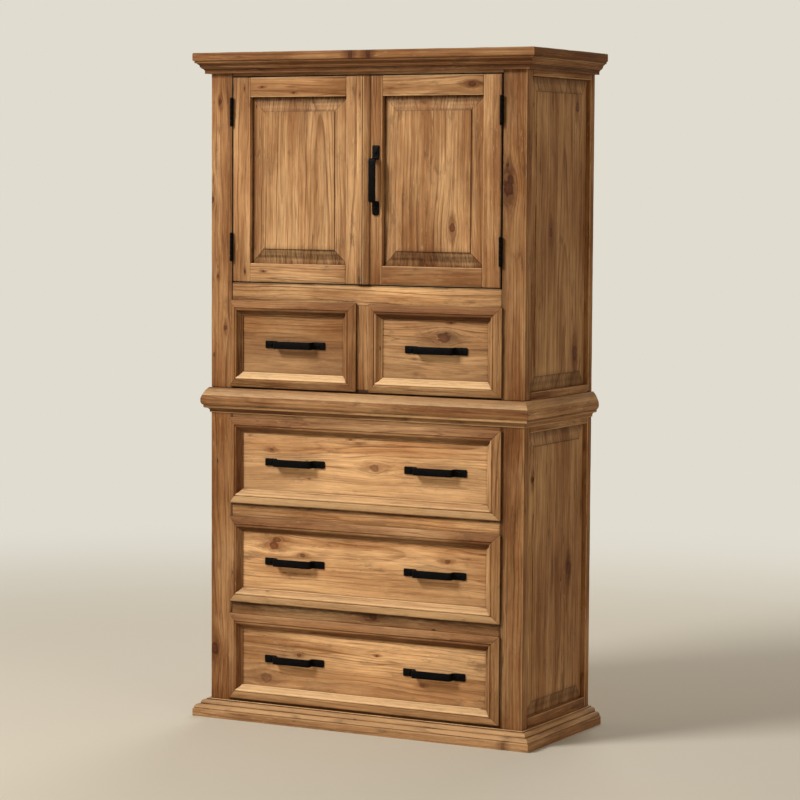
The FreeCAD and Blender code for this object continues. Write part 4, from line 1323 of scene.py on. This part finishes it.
screw_pattern = screw_mesh()
strap_patterns = [pull_mesh(radius) for radius in (DRAWER_FOOT_RADIUS, DOOR_FOOT_RADIUS)]
seats = [(screw_pattern, Matrix.Translation((x, 0, STRAP_THICK)) @ Matrix.Rotation(turn, 4, "Z"))
         for x, turn in ((FOOT / 2 - PULL_HALF, 0.5), (PULL_HALF - FOOT / 2, -0.9))]
drawer_pull, door_pull = [join_copies("whole_pull", [(strap, Matrix.Identity(4)), *seats])
                          for strap in strap_patterns]
TO_FRONT = Matrix.Rotation(math.radians(90), 4, "X")
TO_UPRIGHT = TO_FRONT @ Matrix.Rotation(math.radians(-90), 4, "Z")

# %% Set the pulls on the drawers and the door
LEFT_PULL, RIGHT_PULL, DOOR_PULL = -0.206, 0.218, 0.037


def set_pulls(node, body, places, pattern=drawer_pull, turn=TO_FRONT):
    parts = [(pattern, Matrix.Translation(place) @ turn) for place in places]
    stand_in(join_copies("forged_" + node, parts), node, body, "black_iron")


small_middle = sum(SMALL_OPENING) / 2
set_pulls("small_left_drawer_pull", "small_left_drawer", [(LEFT_PULL, FACE, small_middle)])
set_pulls("small_right_drawer_pull", "small_right_drawer", [(RIGHT_PULL, FACE, small_middle)])
for word, levels in WIDE_OPENINGS.items():
    middle = sum(levels) / 2
    set_pulls(word + "_wide_drawer_pulls", word + "_wide_drawer",
              [(x, FACE, middle) for x in (LEFT_PULL, RIGHT_PULL)])
door_middle = (door_low + door_high) / 2
set_pulls("right_door_pull", "right_door", [(DOOR_PULL, DOOR_FACE, door_middle)], door_pull, TO_UPRIGHT)

# %% [markdown]
# ## Butt hinges
#
# A hinge has five knuckles on one pin. Three belong to the leaf on the post and two to the
# leaf on the door. Knuckles are short cylinders with eased rims.

# %% Hinges
HINGE_Y, HINGE_X, HINGE_TALL, HINGE_INSET = -0.1962, 0.40325, 0.073, 0.056
BARREL, LEAF_THICK, LEAF_BACK = 0.00475, 0.0011, -0.171
KNUCKLES, KNUCKLE_GAP = 5, 0.00015
PIN, CAP, CAP_TALL = 0.0022, 0.00445, 0.002


def rod(radius, low, high, side, eased, sides=28):
    """An upright round bar on a hinge's axis, with eased rims."""
    bpy.ops.mesh.select_all(action="DESELECT")
    bpy.ops.mesh.primitive_cylinder_add(vertices=sides, radius=radius, depth=high - low,
                                        location=(side * HINGE_X, HINGE_Y, (low + high) / 2))
    obj = bpy.context.object
    faces = bmesh.from_edit_mesh(obj.data).faces
    ends = [f.index for f in faces if f.select and len(f.verts) == sides]
    pick(obj, "faces", lambda f: f.index in ends)
    bpy.ops.mesh.bevel(offset=eased, segments=2, affect="EDGES")


def plate(x0, x1, y0, y1, z0, z1):
    bpy.ops.mesh.select_all(action="DESELECT")
    bpy.ops.mesh.primitive_cube_add(size=1, location=((x0 + x1) / 2, (y0 + y1) / 2, (z0 + z1) / 2),
                                    scale=(x1 - x0, y1 - y0, z1 - z0))
    bpy.ops.mesh.bevel(offset=0.0002, segments=1, affect="EDGES")


def hinge_part(side, low, on_post):
    """One leaf with its own knuckles, and with the pin if it is the post's."""
    seat = OPENING_HALF if on_post else OPENING_HALF - DOOR_GAP + LEAF_THICK
    x0, x1 = sorted((side * seat, side * (seat - LEAF_THICK)))
    knuckle = HINGE_TALL / KNUCKLES
    plate(x0, x1, HINGE_Y + BARREL + 0.0003, LEAF_BACK, low, low + HINGE_TALL)
    for i in range(0 if on_post else 1, KNUCKLES, 2):
        z0, z1 = low + i * knuckle + KNUCKLE_GAP, low + (i + 1) * knuckle - KNUCKLE_GAP
        plate(x0, x1, HINGE_Y, HINGE_Y + BARREL + 0.0006, z0, z1)
        rod(BARREL, z0, z1, side, 0.0005)
    if on_post:
        rod(PIN, low, low + HINGE_TALL, side, 0.0002, sides=16)
        for z0 in (low - CAP_TALL, low + HINGE_TALL):
            rod(CAP, z0, z0 + CAP_TALL, side, 0.0007)


for node, body, sides in (("post_hinges", "carcass", (-1, 1)),
                          ("left_door_hinge_leaves", "left_door", (-1,)),
                          ("right_door_hinge_leaves", "right_door", (1,))):
    hinges = Piece(node, made="forged")
    hinges.new_mesh()
    for side in sides:
        for low in (door_low + HINGE_INSET, door_high - HINGE_INSET - HINGE_TALL):
            hinge_part(side, low, on_post=body == "carcass")
    bpy.ops.object.mode_set(mode="OBJECT")
    hinges.note((0, 0, 0), AXES.values(), (1, 1, 1))
    stand_in(hinges.join(), node, body, "black_iron")

for pattern in (screw_pattern, *strap_patterns, drawer_pull, door_pull):
    bpy.data.objects.remove(pattern, do_unlink=True)

# %% [markdown]
# ## Floor and light
#
# The stage is a plain pale floor that fades into the background's own colour, so that no
# horizon shows. One broad soft lamp stands high at the front left, as the photograph's light
# does. A weaker one fills from the right, one stands behind, and the pale world lights every
# side a little.

# %% Stage
BACKGROUND = paint(224, 220, 208)
FADE_START, FADE_END = 1.6, 4.5
bpy.ops.object.select_all(action="DESELECT")
bpy.ops.mesh.primitive_circle_add(vertices=96, radius=40, fill_type="NGON", location=(0, 0, 0))
floor = bpy.context.object
floor.name = "floor"
stone = Finish("pale_floor")
far = stone.node("ShaderNodeVectorMath", {"operation": "LENGTH"}, {0: stone.own_place()}, "Value")
seen_by_camera = stone.node("ShaderNodeLightPath", output="Is Camera Ray")
matt = stone.node("ShaderNodeBsdfPrincipled", None,
                  {"Base Color": paint(214, 209, 196), "Roughness": 0.9})
glow = stone.node("ShaderNodeEmission", None, {"Color": BACKGROUND, "Strength": 1.0})
fade = stone.smooth(far, FADE_START, FADE_END) * seen_by_camera
mixed = stone.node("ShaderNodeMixShader", None, {0: fade, 1: matt, 2: glow})
stone.node("ShaderNodeOutputMaterial", None, {"Surface": mixed})
floor.data.materials.append(stone.block)

# The world lights the cabinet with a warm pale grey, but is seen as the plain background.
sky = Finish("studio", "worlds")
bpy.context.scene.world = sky.block
camera_ray, glossy_ray, through_ray = [sky.node("ShaderNodeLightPath", output=f"Is {ray} Ray")
                                       for ray in ("Camera", "Glossy", "Transmission")]
seen = sky.most(sky.most(camera_ray, glossy_ray), through_ray)
lit = sky.node("ShaderNodeBackground", None, {"Color": paint(240, 220, 194), "Strength": 0.24})
shown = sky.node("ShaderNodeBackground", None, {"Color": BACKGROUND})
chosen = sky.node("ShaderNodeMixShader", None, {0: seen, 1: lit, 2: shown})
sky.node("ShaderNodeOutputWorld", None, {"Surface": chosen})


# %% Lamps
LIT_PLACE = Vector((0, 0, 0.9))


def lamp(name, place, size, power, colour):
    """A soft round lamp that shines on the cabinet's middle."""
    bpy.ops.object.select_all(action="DESELECT")
    bpy.ops.object.light_add(type="AREA", location=place)
    made = bpy.context.object
    made.name = name
    made.data.shape = "DISK"
    made.data.size = size
    made.data.energy = power
    made.data.color = colour
    made.rotation_euler = (LIT_PLACE - Vector(place)).to_track_quat("-Z", "Y").to_euler()


lamp("key_lamp", (-2.6, -4.0, 4.6), 2.2, 290, (1.0, 0.965, 0.91))
lamp("fill_lamp", (5.0, -2.5, 2.2), 3.0, 36, (1.0, 0.88, 0.72))
lamp("rear_lamp", (-1.2, 5.0, 3.5), 3.0, 110, (1.0, 0.98, 0.95))
bpy.context.scene.view_settings.view_transform = "Standard"
print("lamps set")
